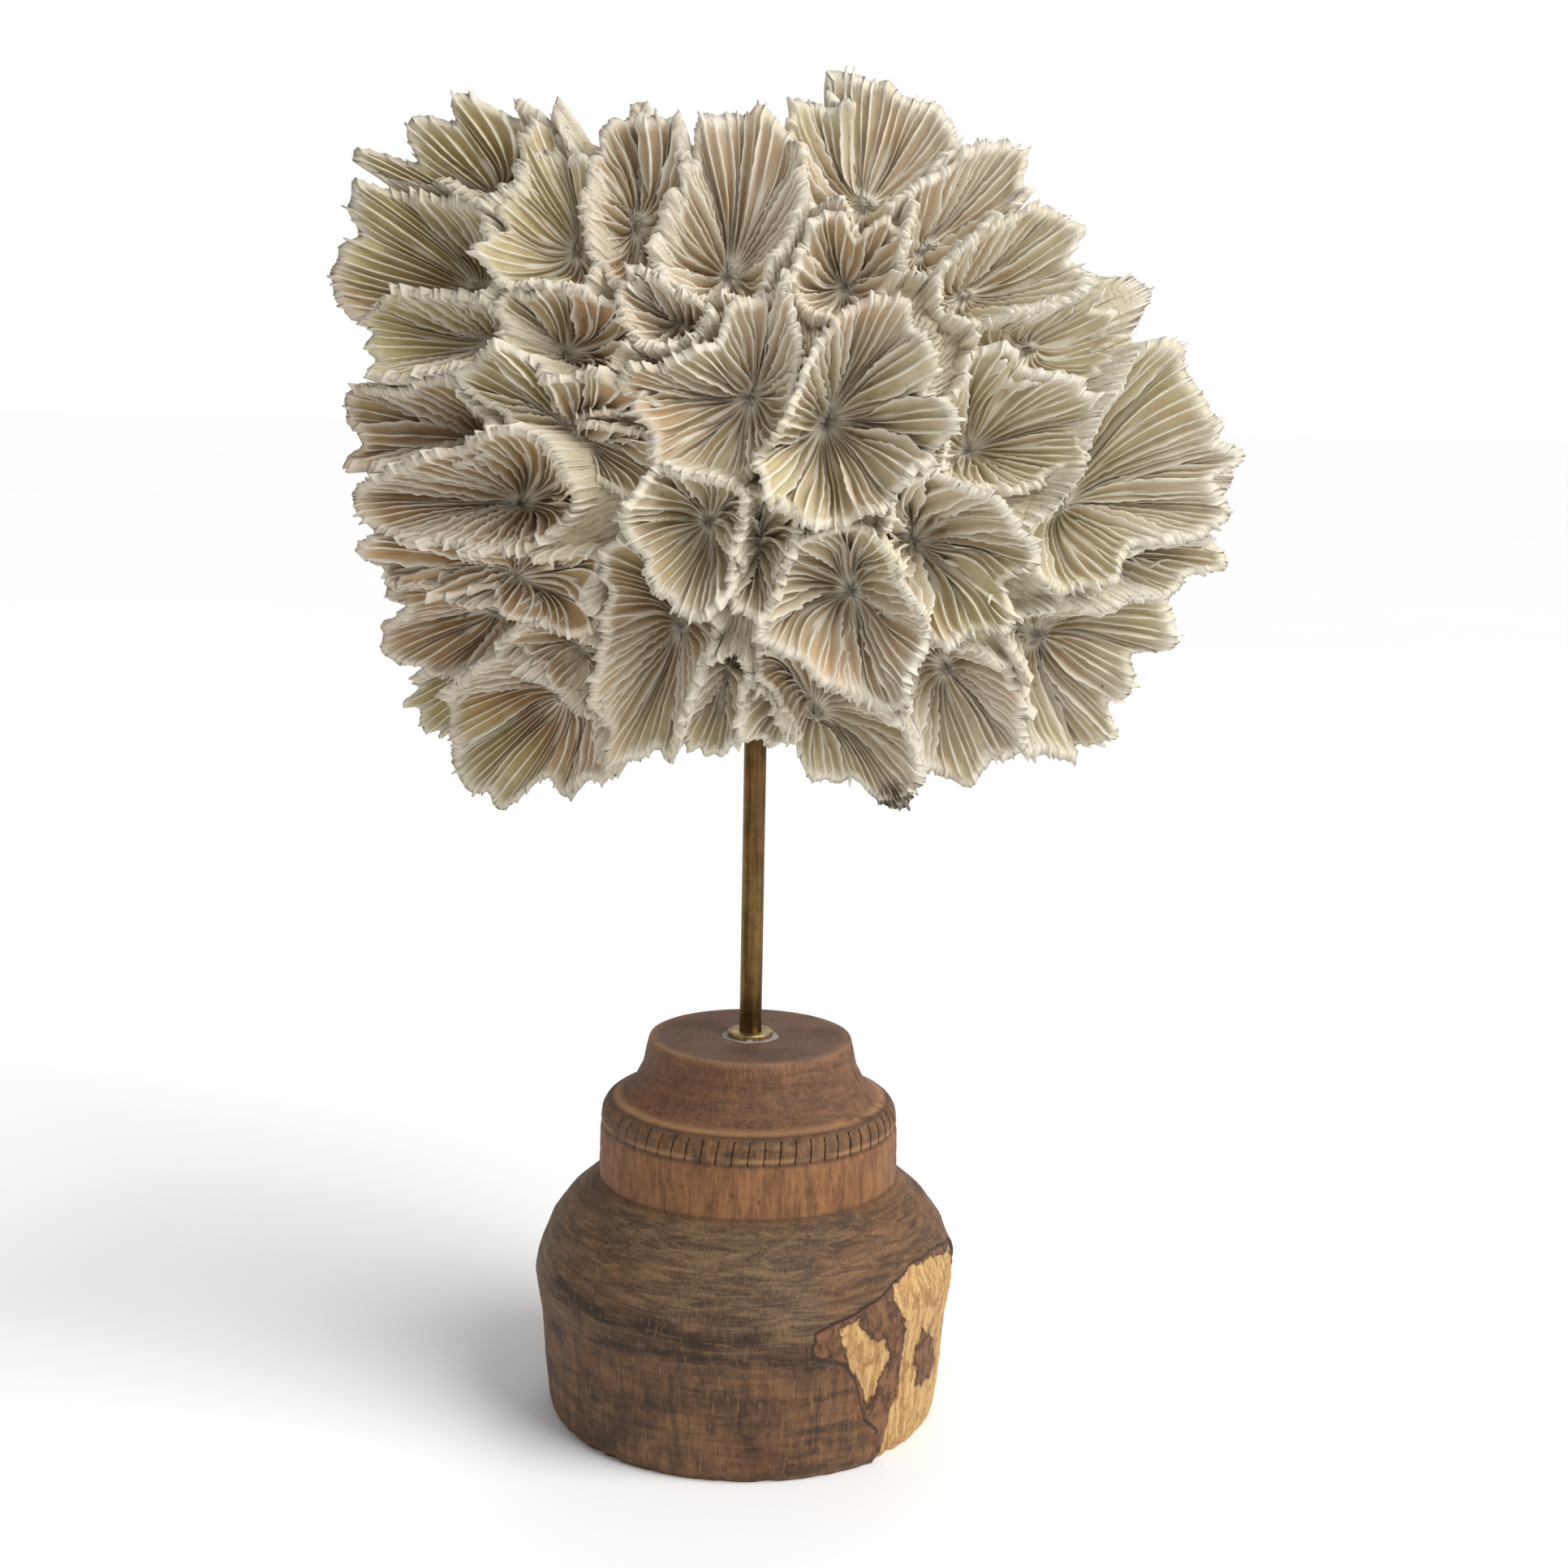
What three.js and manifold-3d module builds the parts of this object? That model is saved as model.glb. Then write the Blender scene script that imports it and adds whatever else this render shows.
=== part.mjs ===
// A specimen of coral on a stand: a turned wooden base, a brass washer, a brass rod and the colony.
// Millimetres, Z up. The origin is the centre of the base's flat underside, on the axis of the rod.
// The colony fans out from a small trunk into branches, and each branch ends in one cup ("flower").
// A cup is held by a few control points: its eye, its rim and its foot on the trunk. Every other
// vertex is a weighted mean of those points, so a plane that parts the control points of two cups
// parts the whole cups too, and no two branches can run into each other.
import * as THREE from "three";
import { mergeVertices } from "three/addons/utils/BufferGeometryUtils.js";
import Module from "manifold-3d";

const wasm = await Module();
wasm.setup();

// ---- driving dimensions ----
const topRadius = 31.7;
const topHeight = 122;
const ringRadius = 47;
const ringHeight = 96;
const bandFoot = 77.4;
const bodyRadius = 67.5;
const bodyHeight = 46;
const footRadius = 62.5;
const footChamfer = { across: 1.5, up: 2 };
const turnedSides = 40;

const rodDiameter = 7;
const rodClearance = 0.3;
const rodDepthInBase = 30;
const rodTop = 268;
const rodSides = 20;
const washerDiameter = 14.4;
const washerThickness = 1.6;
const washerChamfer = 0.5;
const pieceGap = 0.3;

const colony = new THREE.Vector3(12, 0, 306);
const colonyReach = new THREE.Vector3(138, 66, 111);
const backReach = new THREE.Vector3(115, 58, 84);
const trunkShare = 0.5;
const neckRadius = 11;
const neckFlare = 1.5;
const neckFoot = 232;
const boreOverrun = 10;
const trunkSides = 16;
const trunkRows = 10;
const weldDistance = 1e-4;
const branchFootLength = 6.5;
const lipThickness = 1.3;
const branchGap = 0.35;
const bowlShares = { rim: 0.52, eye: 0.36, foot: 0.12 };
const wallShares = { rim: 0.55, eye: 0.05, foot: 0.4 };
const partingSteps = 1500;
const partingPush = 0.6;
const partingDelay = 20;
const keepBehindRounds = 60;
const leastRimSpacing = 1.5;
const leastRimTurn = 0.08;
const widestRimTurn = 2.5;
const leastBranchLength = 9;
const eyeShifts = [0, 0.15, 0.3, 0.45, 0.6, 0.75];
const turnShares = [0, 0.2, 0.4, 0.6, 0.8, 1];
const lengthShares = [1, 0.7, 0.5, 1.5];
const frontTilt = 0.42;
const backTilt = 0.12;

// ---- the front cups ----
// name: [eye x, eye z, depth of the eye, rise of the rim over the eye, rim as x, z pairs]
const frontCups = {
  upper_left_fan: [-82, 378, 14, 15,
    [-119, 384, -106, 393, -95, 403, -83, 408, -68, 404, -61, 396, -70, 386, -80, 374, -94, 383, -108, 381]],
  left_fan: [-84, 352, 18, 16,
    [-128, 361, -124, 369, -122, 380, -106, 379, -90, 379, -79, 372, -76, 357, -80, 347, -95, 349,
      -112, 344, -122, 341]],
  left_folded_lip: [-78, 337, 20, 18,
    [-109, 352, -97, 352, -86, 348, -78, 348, -73, 342, -75, 331, -86, 330, -98, 328, -112, 326,
      -108, 334, -115, 343]],
  left_inner_fan: [-59, 331, 22, 20,
    [-74, 351, -66, 350, -57, 354, -48, 350, -40, 348, -36, 339, -41, 332, -53, 326, -63, 327, -72, 337]],
  left_shield: [-53, 363, 10, 9,
    [-78, 356, -78, 368, -76, 381, -70, 392, -62, 403, -57, 390, -51, 389, -49, 376, -48, 362,
      -52, 353, -62, 353, -71, 353]],
  twin_blades: [-38, 361, 20, 17,
    [-48, 391, -44, 398, -40, 401, -37, 407, -34, 398, -30, 396, -26, 400, -24, 390, -26, 376,
      -30, 362, -37, 354, -44, 357, -49, 365]],
  tall_fan: [-10, 357, 20, 16,
    [-19, 396, -13, 400, -7, 402, 3, 400, 8, 392, 12, 382, 8, 370, 1, 358, -7, 351, -18, 351, -28, 356,
      -29, 367, -22, 382]],
  tall_fan_lobe: [-23, 344, 15, 15,
    [-36, 358, -40, 352, -38, 345, -34, 338, -26, 336, -17, 340, -14, 347, -24, 352]],
  button_cup: [-19, 330, 20, 16,
    [-34, 334, -28, 337, -20, 338, -14, 338, -13, 332, -18, 327, -27, 327]],
  crown_fan: [29, 378, 16, 12,
    [8, 396, 8, 403, 14, 407, 19, 414, 24, 404, 32, 412, 41, 408, 50, 405, 56, 393, 46, 386, 38, 376,
      28, 371, 18, 378, 11, 387]],
  crown_side_fan: [46, 366, 14, 12,
    [41, 373, 43, 384, 52, 388, 61, 394, 70, 395, 75, 385, 70, 376, 62, 371, 54, 364, 45, 360, 39, 364]],
  right_shoulder_fan: [58, 353, 14, 13,
    [52, 361, 60, 368, 68, 373, 76, 377, 83, 377, 89, 367, 92, 357, 86, 351, 75, 348, 65, 346, 56, 345,
      50, 352]],
  under_crown_cup: [24, 354, 22, 20,
    [10, 362, 14, 371, 18, 374, 27, 370, 37, 372, 40, 363, 35, 355, 32, 349, 24, 345, 15, 346, 10, 353]],
  broken_cup: [78, 339, 11, 8,
    [60, 341, 68, 346, 78, 350, 89, 351, 97, 349, 102, 342, 99, 334, 92, 330, 82, 331, 74, 327, 65, 333]],
  middle_wide_cup: [-1, 323, 20, 20,
    [-42, 331, -30, 327, -18, 327, -13, 336, -8, 348, -1, 358, 5, 359, 8, 350, 11, 341, 9, 330, 8, 321,
      4, 311, -2, 303, -12, 301, -22, 302, -28, 302, -30, 313, -36, 324]],
  middle_round_cup: [19, 317, 19, 28,
    [14, 334, 20, 343, 28, 350, 38, 350, 44, 342, 47, 330, 53, 319, 50, 311, 42, 303, 35, 295, 24, 290,
      13, 290, 3, 297, 0, 306, 6, 315, 10, 323]],
  right_upper_cup: [58, 307, 24, 22,
    [52, 314, 55, 326, 62, 338, 72, 338, 82, 333, 93, 327, 98, 320, 92, 311, 84, 304, 74, 299, 62, 300,
      52, 302]],
  right_great_fan: [88, 293, 20, 22,
    [90, 304, 97, 320, 101, 332, 105, 349, 112, 341, 122, 337, 126, 325, 135, 321, 132, 314, 138, 309,
      132, 300, 137, 293, 128, 285, 114, 284, 105, 279, 97, 272, 86, 270, 79, 276, 78, 286, 82, 296]],
  right_inner_cup: [45, 283, 22, 26,
    [36, 292, 40, 302, 48, 303, 56, 300, 66, 297, 72, 290, 79, 281, 73, 271, 70, 262, 60, 257, 51, 256,
      47, 264, 42, 273, 38, 281]],
  star_cup: [28, 268, 16, 22,
    [9, 284, 18, 287, 28, 288, 35, 284, 39, 275, 45, 265, 49, 256, 44, 246, 40, 235, 33, 236, 22, 243,
      13, 250, 0, 257, 2, 268, 5, 277]],
  raised_cup_left: [-14, 288, 8, 18,
    [-28, 303, -34, 295, -37, 289, -33, 280, -29, 272, -22, 265, -15, 263, -8, 268, -6, 278, -4, 288,
      -3, 297, -11, 300, -20, 302]],
  raised_cup_right: [0, 280, 12, 20,
    [-2, 297, 4, 297, 10, 292, 13, 285, 11, 276, 8, 267, 2, 263, -6, 265, -7, 273, -6, 282]],
  left_great_cup: [-50, 301, 30, 28,
    [-84, 332, -77, 338, -67, 335, -58, 326, -53, 316, -51, 328, -42, 331, -34, 322, -28, 311, -28, 301,
      -35, 296, -44, 292, -52, 294, -60, 303, -71, 311, -82, 317, -89, 324]],
  left_pit_cup: [-84, 308, 28, 24,
    [-120, 322, -122, 314, -119, 309, -122, 302, -112, 300, -103, 303, -95, 300, -86, 301, -78, 305,
      -77, 312, -84, 321, -92, 326, -101, 328, -105, 322]],
  left_long_valley: [-70, 290, 22, 24,
    [-100, 303, -90, 301, -80, 310, -70, 315, -58, 314, -53, 305, -52, 296, -57, 288, -63, 280, -75, 279,
      -90, 280, -102, 280, -110, 283, -117, 292, -112, 299]],
  lower_left_valley: [-56, 264, 26, 26,
    [-60, 279, -75, 279, -90, 279, -103, 281, -113, 279, -115, 271, -108, 265, -92, 266, -80, 265,
      -72, 262, -62, 257, -53, 254, -46, 258, -47, 268, -50, 277]],
  lower_left_cup: [-79, 257, 22, 20,
    [-108, 265, -107, 257, -112, 250, -113, 242, -104, 239, -96, 236, -88, 237, -80, 244, -72, 251,
      -69, 259, -80, 264, -94, 266]],
  lower_left_hollow: [-51, 251, 26, 24,
    [-64, 258, -70, 252, -67, 246, -60, 242, -56, 237, -52, 228, -46, 231, -43, 240, -44, 249, -52, 256]],
  bottom_left_fan: [-58, 231, 15, 14,
    [-79, 243, -91, 234, -96, 225, -91, 216, -94, 207, -90, 199, -82, 200, -77, 197, -71, 204, -64, 204,
      -60, 198, -54, 205, -45, 207, -42, 213, -49, 222, -55, 234, -60, 241, -69, 243]],
  bottom_left_flap: [-93, 229, 8, 6,
    [-99, 237, -106, 231, -107, 225, -103, 217, -96, 217, -92, 223, -91, 234]],
  bottom_cup: [-22, 256, 22, 24,
    [-41, 281, -47, 269, -43, 257, -45, 244, -46, 231, -39, 216, -30, 218, -22, 218, -20, 230, -14, 244,
      -11, 252, -9, 259, -14, 263, -21, 266, -29, 274, -35, 282]],
  bottom_small_cup: [-9, 241, 14, 16,
    [-21, 234, -19, 241, -15, 247, -9, 250, -3, 250, -2, 245, -4, 236, -4, 226, -10, 220, -17, 221,
      -22, 225]],
  bottom_hook_cup: [16, 231, 14, 15,
    [-2, 239, 0, 250, 10, 250, 21, 247, 30, 240, 41, 230, 48, 220, 46, 207, 39, 202, 29, 209, 21, 219,
      13, 226, 3, 224, -3, 229]],
  bottom_right_cup: [57, 244, 18, 18,
    [51, 254, 60, 253, 67, 250, 73, 247, 76, 240, 79, 230, 79, 219, 71, 217, 66, 213, 59, 211, 51, 215,
      47, 222, 44, 232, 44, 242, 46, 250]],
  lower_right_fan: [84, 254, 18, 17,
    [76, 261, 90, 264, 106, 266, 120, 265, 132, 260, 120, 252, 113, 245, 110, 237, 105, 226, 102, 215,
      90, 219, 81, 220, 81, 233, 78, 245, 74, 253]],
  right_lower_shield: [103, 275, 12, 9,
    [104, 281, 118, 283, 131, 284, 136, 278, 128, 273, 123, 268, 108, 268, 94, 266, 88, 268, 96, 274]],
};

// ---- the hidden back of the colony: cups of one kind, set out on a spiral ----
const backCupCount = 20;
const backRimPoints = 12;
const backRise = 17;
const backCupRadius = 27;
const backRimWave = 3.5;
const backRimBend = 2.5;
const fiveLobeShare = 0.6;
const spiralStart = 0.3;
const goldenAngle = Math.PI * (3 - Math.sqrt(5));

// ---- materials ----
const coralMaterial = new THREE.MeshStandardMaterial({ color: 0xd6cdb6, roughness: 0.85, metalness: 0 });
const woodMaterial = new THREE.MeshStandardMaterial({ color: 0x77502f, roughness: 0.6, metalness: 0 });
const brassMaterial = new THREE.MeshStandardMaterial({ color: 0x94763a, roughness: 0.35, metalness: 1 });

// ---- turned pieces ----
function turned(name, profile, sides, material) {
  const points = profile.map(([r, z]) => new THREE.Vector2(r, z));
  const geometry = new THREE.LatheGeometry(points, sides);
  geometry.rotateX(Math.PI / 2);
  const mesh = new THREE.Mesh(geometry, material);
  mesh.name = name;
  return mesh;
}

function woodenBase() {
  const bore = rodDiameter / 2 + rodClearance;
  return turned("wooden_base", [
    [0, 0],
    [footRadius - footChamfer.across, 0],
    [footRadius, footChamfer.up],
    [64.2, 17],
    [65.2, 33],
    [66.6, 41],
    [bodyRadius, bodyHeight],
    [66.3, 52],
    [62.5, 62],
    [57, 69.5],
    [50.5, 75],
    [ringRadius + 0.3, bandFoot],
    [ringRadius, ringHeight - 1.5],
    [ringRadius - 0.6, ringHeight],
    [ringRadius - 0.8, ringHeight + 3.5],
    [44, 102.6],
    [40.5, 103.6],
    [36.6, 107.5],
    [33.8, 113],
    [32.4, topHeight - 2],
    [topRadius, topHeight],
    [bore, topHeight],
    [bore, topHeight - rodDepthInBase],
    [0, topHeight - rodDepthInBase],
  ], turnedSides, woodMaterial);
}

function brassRod() {
  const radius = rodDiameter / 2;
  const foot = topHeight - rodDepthInBase + pieceGap;
  const profile = [[0, foot], [radius, foot], [radius, rodTop], [0, rodTop]];
  return turned("brass_rod", profile, rodSides, brassMaterial);
}

function brassWasher() {
  const inner = rodDiameter / 2 + rodClearance;
  const outer = washerDiameter / 2;
  const foot = topHeight + pieceGap;
  const top = foot + washerThickness;
  return turned("brass_washer", [
    [inner, foot],
    [outer, foot],
    [outer, top - washerChamfer],
    [outer - washerChamfer, top],
    [inner, top],
    [inner, foot],
  ], 2 * rodSides, brassMaterial);
}

// ---- the cups' control points ----
function frontSurface(x, z) {
  const across = (x - colony.x) / colonyReach.x;
  const up = (z - colony.z) / colonyReach.z;
  return -colonyReach.y * Math.sqrt(Math.max(0, 1 - across * across - up * up));
}

// The way a cup faces: square to the colony's surface, but turned towards Y by the least tilt.
function facingAt(point, reach, leastTilt) {
  const facing = point.clone().sub(colony).divide(reach).divide(reach).normalize();
  facing.y = Math.sign(leastTilt) * Math.max(Math.abs(facing.y), Math.abs(leastTilt));
  return facing.normalize();
}

// The point of the trunk's surface below a point, as seen from the middle of the colony.
function onTrunk(point) {
  const arm = point.clone().sub(colony);
  return arm.multiplyScalar(trunkShare / arm.clone().divide(colonyReach).length()).add(colony);
}

// Two directions square to an axis, to measure angles about it.
function across(axis) {
  const sideways = new THREE.Vector3().crossVectors(new THREE.Vector3(0, 0, 1), axis).normalize();
  return [sideways, new THREE.Vector3().crossVectors(axis, sideways)];
}

function frontCup([name, [x, z, depth, rise, pairs]]) {
  const onFront = new THREE.Vector3(x, frontSurface(x, z), z);
  const facing = facingAt(onFront, colonyReach, -frontTilt);
  const eye = onFront.clone();
  eye.y += depth;
  const rim = [];
  for (let i = 0; i < pairs.length; i += 2) {
    const [rx, rz] = [pairs[i], pairs[i + 1]];
    const onPlane = eye.y + (rise - facing.x * (rx - x) - facing.z * (rz - z)) / facing.y;
    const onColony = frontSurface(rx, rz) + depth - rise;
    rim.push(new THREE.Vector3(rx, (onPlane + onColony) / 2, rz));
  }
  return { name: "coral_" + name, eye, foot: onTrunk(eye), rim };
}

function backCup(index) {
  const out = Math.sqrt((index + 0.5) / backCupCount);
  const turn = (index + spiralStart) * goldenAngle;
  const onBack = new THREE.Vector3(out * Math.cos(turn), Math.sqrt(1 - out * out), out * Math.sin(turn));
  onBack.multiply(backReach).add(colony);
  const facing = facingAt(onBack, backReach, backTilt);
  const eye = onBack.clone().addScaledVector(facing, -backRise);
  const [sideways, upwards] = across(facing);
  const rim = [];
  for (let i = 0; i < backRimPoints; i += 1) {
    const angle = (2 * Math.PI * i) / backRimPoints;
    const wave = Math.sin(3 * angle + index) + fiveLobeShare * Math.sin(5 * angle + 2 * index);
    const radius = backCupRadius + backRimWave * wave;
    rim.push(onBack.clone()
      .addScaledVector(sideways, radius * Math.cos(angle))
      .addScaledVector(upwards, radius * Math.sin(angle))
      .addScaledVector(facing, backRimBend * Math.cos(2 * angle + index)));
  }
  const number = String(index + 1).padStart(2, "0");
  return { name: "coral_back_cup_" + number, eye, foot: onTrunk(eye), rim };
}

// ---- parting the cups ----
const controlPoints = (c) => [c.eye, c.foot, ...c.rim];

function furthest(points, direction) {
  return points.reduce((best, p) => (p.dot(direction) > best.dot(direction) ? p : best));
}

// The plane that best parts two cups. Its direction is nudged towards the pair of points
// that it parts worst until the gap between the cups stops growing.
function partingPlane(a, b) {
  const [pointsA, pointsB] = [controlPoints(a), controlPoints(b)];
  let direction = b.eye.clone().sub(a.eye).normalize();
  let best = { gap: -Infinity };
  for (let step = 0; step < partingSteps; step += 1) {
    const fromA = furthest(pointsA, direction);
    const fromB = furthest(pointsB, direction.clone().negate());
    const between = fromB.clone().sub(fromA);
    const gap = between.dot(direction);
    if (gap > best.gap) {
      const offset = (fromA.dot(direction) + fromB.dot(direction)) / 2;
      best = { gap, direction: direction.clone(), offset };
    }
    direction = direction.addScaledVector(between, partingPush / (partingDelay + step)).normalize();
  }
  return best;
}

// Points past a plane are brought back to it, each point by the shortest way, until all planes hold.
function keepBehind(points, planes) {
  for (let round = 0; round < keepBehindRounds; round += 1) {
    for (const { direction, offset } of planes) {
      for (const point of points) {
        const past = point.dot(direction) - (offset - branchGap / 2);
        if (past > 0) point.addScaledVector(direction, -past);
      }
    }
  }
}

// The rim in order of its angle about the line from the foot to the eye, less the points that are
// crowded there. A section through that line is then one simple outline that changes little from
// one rim point to the next, so the cup's surfaces can't cross.
function sortedRim({ eye, rim }, foot) {
  const [sideways, upwards] = across(eye.clone().sub(foot).normalize());
  const angleOf = (point) => {
    const arm = point.clone().sub(foot);
    return Math.atan2(arm.dot(upwards), arm.dot(sideways));
  };
  const turned = rim.map((point) => ({ point, angle: angleOf(point) })).sort((a, b) => a.angle - b.angle);
  const apart = (a, b) => a.point.distanceTo(b.point) > leastRimSpacing
    && Math.cos(a.angle - b.angle) < Math.cos(leastRimTurn);
  const kept = [turned[0]];
  for (const next of turned.slice(1)) {
    if (apart(kept[kept.length - 1], next)) kept.push(next);
  }
  if (!apart(kept[kept.length - 1], kept[0])) kept.pop();
  const turns = kept.map(({ angle }, i) => (kept[(i + 1) % kept.length].angle - angle + 4 * Math.PI)
    % (2 * Math.PI));
  return { rim: kept.map(({ point }) => point), widestTurn: Math.max(...turns) };
}

// The foot stays where it is, or moves along behind the eye until the rim goes all the way round
// the line through both. Failing that, the eye moves towards the middle of the rim.
function settle(c, planes) {
  const inFront = c.rim.reduce((sum, p, i) => {
    const next = c.rim[(i + 1) % c.rim.length];
    return sum.add(p.clone().sub(c.eye).cross(next.clone().sub(c.eye)));
  }, new THREE.Vector3());
  if (inFront.dot(c.eye.clone().sub(colony)) < 0) inFront.negate();
  inFront.normalize();
  const middle = c.rim.reduce((sum, p) => sum.addScaledVector(p, 1 / c.rim.length), new THREE.Vector3());
  const behind = c.foot.clone().sub(c.eye);
  let best = { widestTurn: Infinity };
  for (const shift of eyeShifts) {
    const eye = c.eye.clone().lerp(middle, shift);
    for (const share of turnShares) {
      const direction = behind.clone().normalize().lerp(inFront, -share).normalize();
      for (const length of lengthShares) {
        const reach = Math.max(length * behind.length(), leastBranchLength);
        const foot = eye.clone().addScaledVector(direction, reach);
        if (planes.some((plane) => foot.dot(plane.direction) > plane.offset - branchGap / 2)) continue;
        const tried = { eye, foot, ...sortedRim({ eye, rim: c.rim }, foot) };
        if (tried.widestTurn < best.widestTurn) best = tried;
        if (best.widestTurn < widestRimTurn) return Object.assign(c, best);
      }
    }
  }
  return Object.assign(c, best);
}

function partAll(cups) {
  const planes = cups.map(() => []);
  cups.forEach((a, i) => cups.slice(i + 1).forEach((b, k) => {
    const plane = partingPlane(a, b);
    if (plane.gap > branchGap) return;
    planes[i].push(plane);
    planes[i + 1 + k].push({ direction: plane.direction.clone().negate(), offset: -plane.offset });
  }));
  cups.forEach((c, i) => keepBehind(controlPoints(c), planes[i]));
  cups.forEach((c, i) => settle(c, planes[i]));
}

// ---- one branch: bowl, thin lip, outer wall and foot ----
function branchSolid({ eye, rim, foot }, swell = 0) {
  const mean = (point, shares) => point.clone().multiplyScalar(shares.rim)
    .addScaledVector(eye, shares.eye).addScaledVector(foot, shares.foot);
  const bowl = rim.map((point) => mean(point, bowlShares));
  const lip = rim.map((point) => point.clone().lerp(eye, lipThickness / point.distanceTo(eye)));
  const wall = rim.map((point) => mean(point, wallShares));
  const footRing = rim.map((point) => foot.clone().lerp(point, branchFootLength / point.distanceTo(foot)));
  const rings = [bowl, lip, rim, wall, footRing];
  const vertices = [eye, ...rings.flat(), foot];
  const count = rim.length;
  const at = (ring, i) => 1 + ring * count + (i % count);
  const triangles = [];
  for (let i = 0; i < count; i += 1) {
    triangles.push(0, at(0, i), at(0, i + 1));
    for (let ring = 0; ring < rings.length - 1; ring += 1) {
      triangles.push(at(ring, i), at(ring + 1, i), at(ring + 1, i + 1));
      triangles.push(at(ring, i), at(ring + 1, i + 1), at(ring, i + 1));
    }
    triangles.push(vertices.length - 1, at(rings.length - 1, i + 1), at(rings.length - 1, i));
  }
  const geometry = new THREE.BufferGeometry();
  const coordinates = vertices.flatMap((vertex) => vertex.toArray());
  geometry.setAttribute("position", new THREE.Float32BufferAttribute(coordinates, 3));
  geometry.setIndex(triangles);
  if (swell) {
    geometry.computeVertexNormals();
    const { position, normal } = geometry.attributes;
    for (let i = 0; i < position.count; i += 1) {
      position.setXYZ(i, position.getX(i) + swell * normal.getX(i), position.getY(i) + swell * normal.getY(i),
        position.getZ(i) + swell * normal.getZ(i));
    }
    geometry.deleteAttribute("normal");
  }
  return geometry;
}

function branch(cupPoints) {
  const mesh = new THREE.Mesh(branchSolid(cupPoints), coralMaterial);
  mesh.name = cupPoints.name;
  return mesh;
}

// ---- the trunk, cut clear of the rod and of every branch's foot ----
function toManifold(geometry) {
  const plain = new THREE.BufferGeometry();
  plain.setAttribute("position", geometry.getAttribute("position"));
  plain.setIndex(geometry.index);
  const merged = mergeVertices(plain, weldDistance);
  return new wasm.Manifold(new wasm.Mesh({
    numProp: 3,
    vertProperties: merged.attributes.position.array,
    triVerts: new Uint32Array(merged.index.array),
  }));
}

function toGeometry(solid) {
  const { vertProperties, triVerts } = solid.getMesh();
  const geometry = new THREE.BufferGeometry();
  geometry.setAttribute("position", new THREE.BufferAttribute(vertProperties, 3));
  geometry.setIndex(new THREE.BufferAttribute(triVerts, 1));
  return geometry;
}

function coralTrunk(cups) {
  const core = new THREE.SphereGeometry(trunkShare, trunkSides, trunkRows);
  core.scale(colonyReach.x - 2 * pieceGap, colonyReach.y - 2 * pieceGap, colonyReach.z - 2 * pieceGap);
  core.translate(colony.x, colony.y, colony.z);
  const neckTopRadius = neckRadius * neckFlare;
  const neck = new THREE.CylinderGeometry(neckTopRadius, neckRadius, colony.z - neckFoot, trunkSides);
  neck.rotateX(Math.PI / 2);
  neck.translate(0, 0, (colony.z + neckFoot) / 2);
  const boreRadius = rodDiameter / 2 + rodClearance;
  const boreTop = rodTop + pieceGap;
  const boreFoot = neckFoot - boreOverrun;
  const bore = new THREE.CylinderGeometry(boreRadius, boreRadius, boreTop - boreFoot, rodSides);
  bore.rotateX(Math.PI / 2);
  bore.translate(0, 0, (boreTop + boreFoot) / 2);
  let solid = toManifold(core).add(toManifold(neck));
  for (const cupPoints of cups) {
    const plain = toManifold(branchSolid(cupPoints));
    if (solid.intersect(plain).isEmpty()) continue;
    solid = solid.subtract(toManifold(branchSolid(cupPoints, 2 * branchGap))).subtract(plain);
  }
  solid = solid.subtract(toManifold(bore));
  const largest = solid.decompose().reduce((a, b) => (a.volume() > b.volume() ? a : b));
  const mesh = new THREE.Mesh(toGeometry(largest), coralMaterial);
  mesh.name = "coral_trunk";
  return mesh;
}

const cups = Object.entries(frontCups).map(frontCup);
for (let index = 0; index < backCupCount; index += 1) cups.push(backCup(index));
partAll(cups);

const specimen = new THREE.Group();
specimen.add(woodenBase(), brassWasher(), brassRod(), coralTrunk(cups), ...cups.map(branch));

export default specimen;
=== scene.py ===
# %% [markdown]
# # A piece of coral on a turned wooden stand
#
# The colony is a cluster of thin-walled cups that share one trunk. It stands on a brass rod, and the
# rod stands in an old turned block of wood, perhaps once part of a table leg.
#
# The construction model gives every piece its place and its size. Here each piece gets its fine
# surface: the blades inside the cups, the notches and the split in the wood, and all the finishes.
#
# First the construction model is loaded. Its parts keep their places and sizes.

# %% The construction model
import math

import bpy
import numpy as np
from mathutils import Matrix, Vector
from mathutils.bvhtree import BVHTree


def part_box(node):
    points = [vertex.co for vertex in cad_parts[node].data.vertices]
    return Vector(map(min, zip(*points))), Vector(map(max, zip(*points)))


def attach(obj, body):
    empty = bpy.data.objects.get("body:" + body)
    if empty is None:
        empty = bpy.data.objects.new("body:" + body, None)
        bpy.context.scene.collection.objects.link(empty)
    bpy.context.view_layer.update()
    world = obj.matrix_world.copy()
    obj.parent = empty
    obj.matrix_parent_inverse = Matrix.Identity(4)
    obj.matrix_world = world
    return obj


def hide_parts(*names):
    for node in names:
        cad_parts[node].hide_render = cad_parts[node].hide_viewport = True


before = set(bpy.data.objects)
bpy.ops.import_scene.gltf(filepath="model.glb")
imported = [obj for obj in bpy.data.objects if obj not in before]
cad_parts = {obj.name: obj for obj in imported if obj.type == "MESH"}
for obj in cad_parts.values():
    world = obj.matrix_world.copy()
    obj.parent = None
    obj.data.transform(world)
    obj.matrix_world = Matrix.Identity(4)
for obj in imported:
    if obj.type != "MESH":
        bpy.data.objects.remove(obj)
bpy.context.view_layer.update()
mm = 0.001

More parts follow.
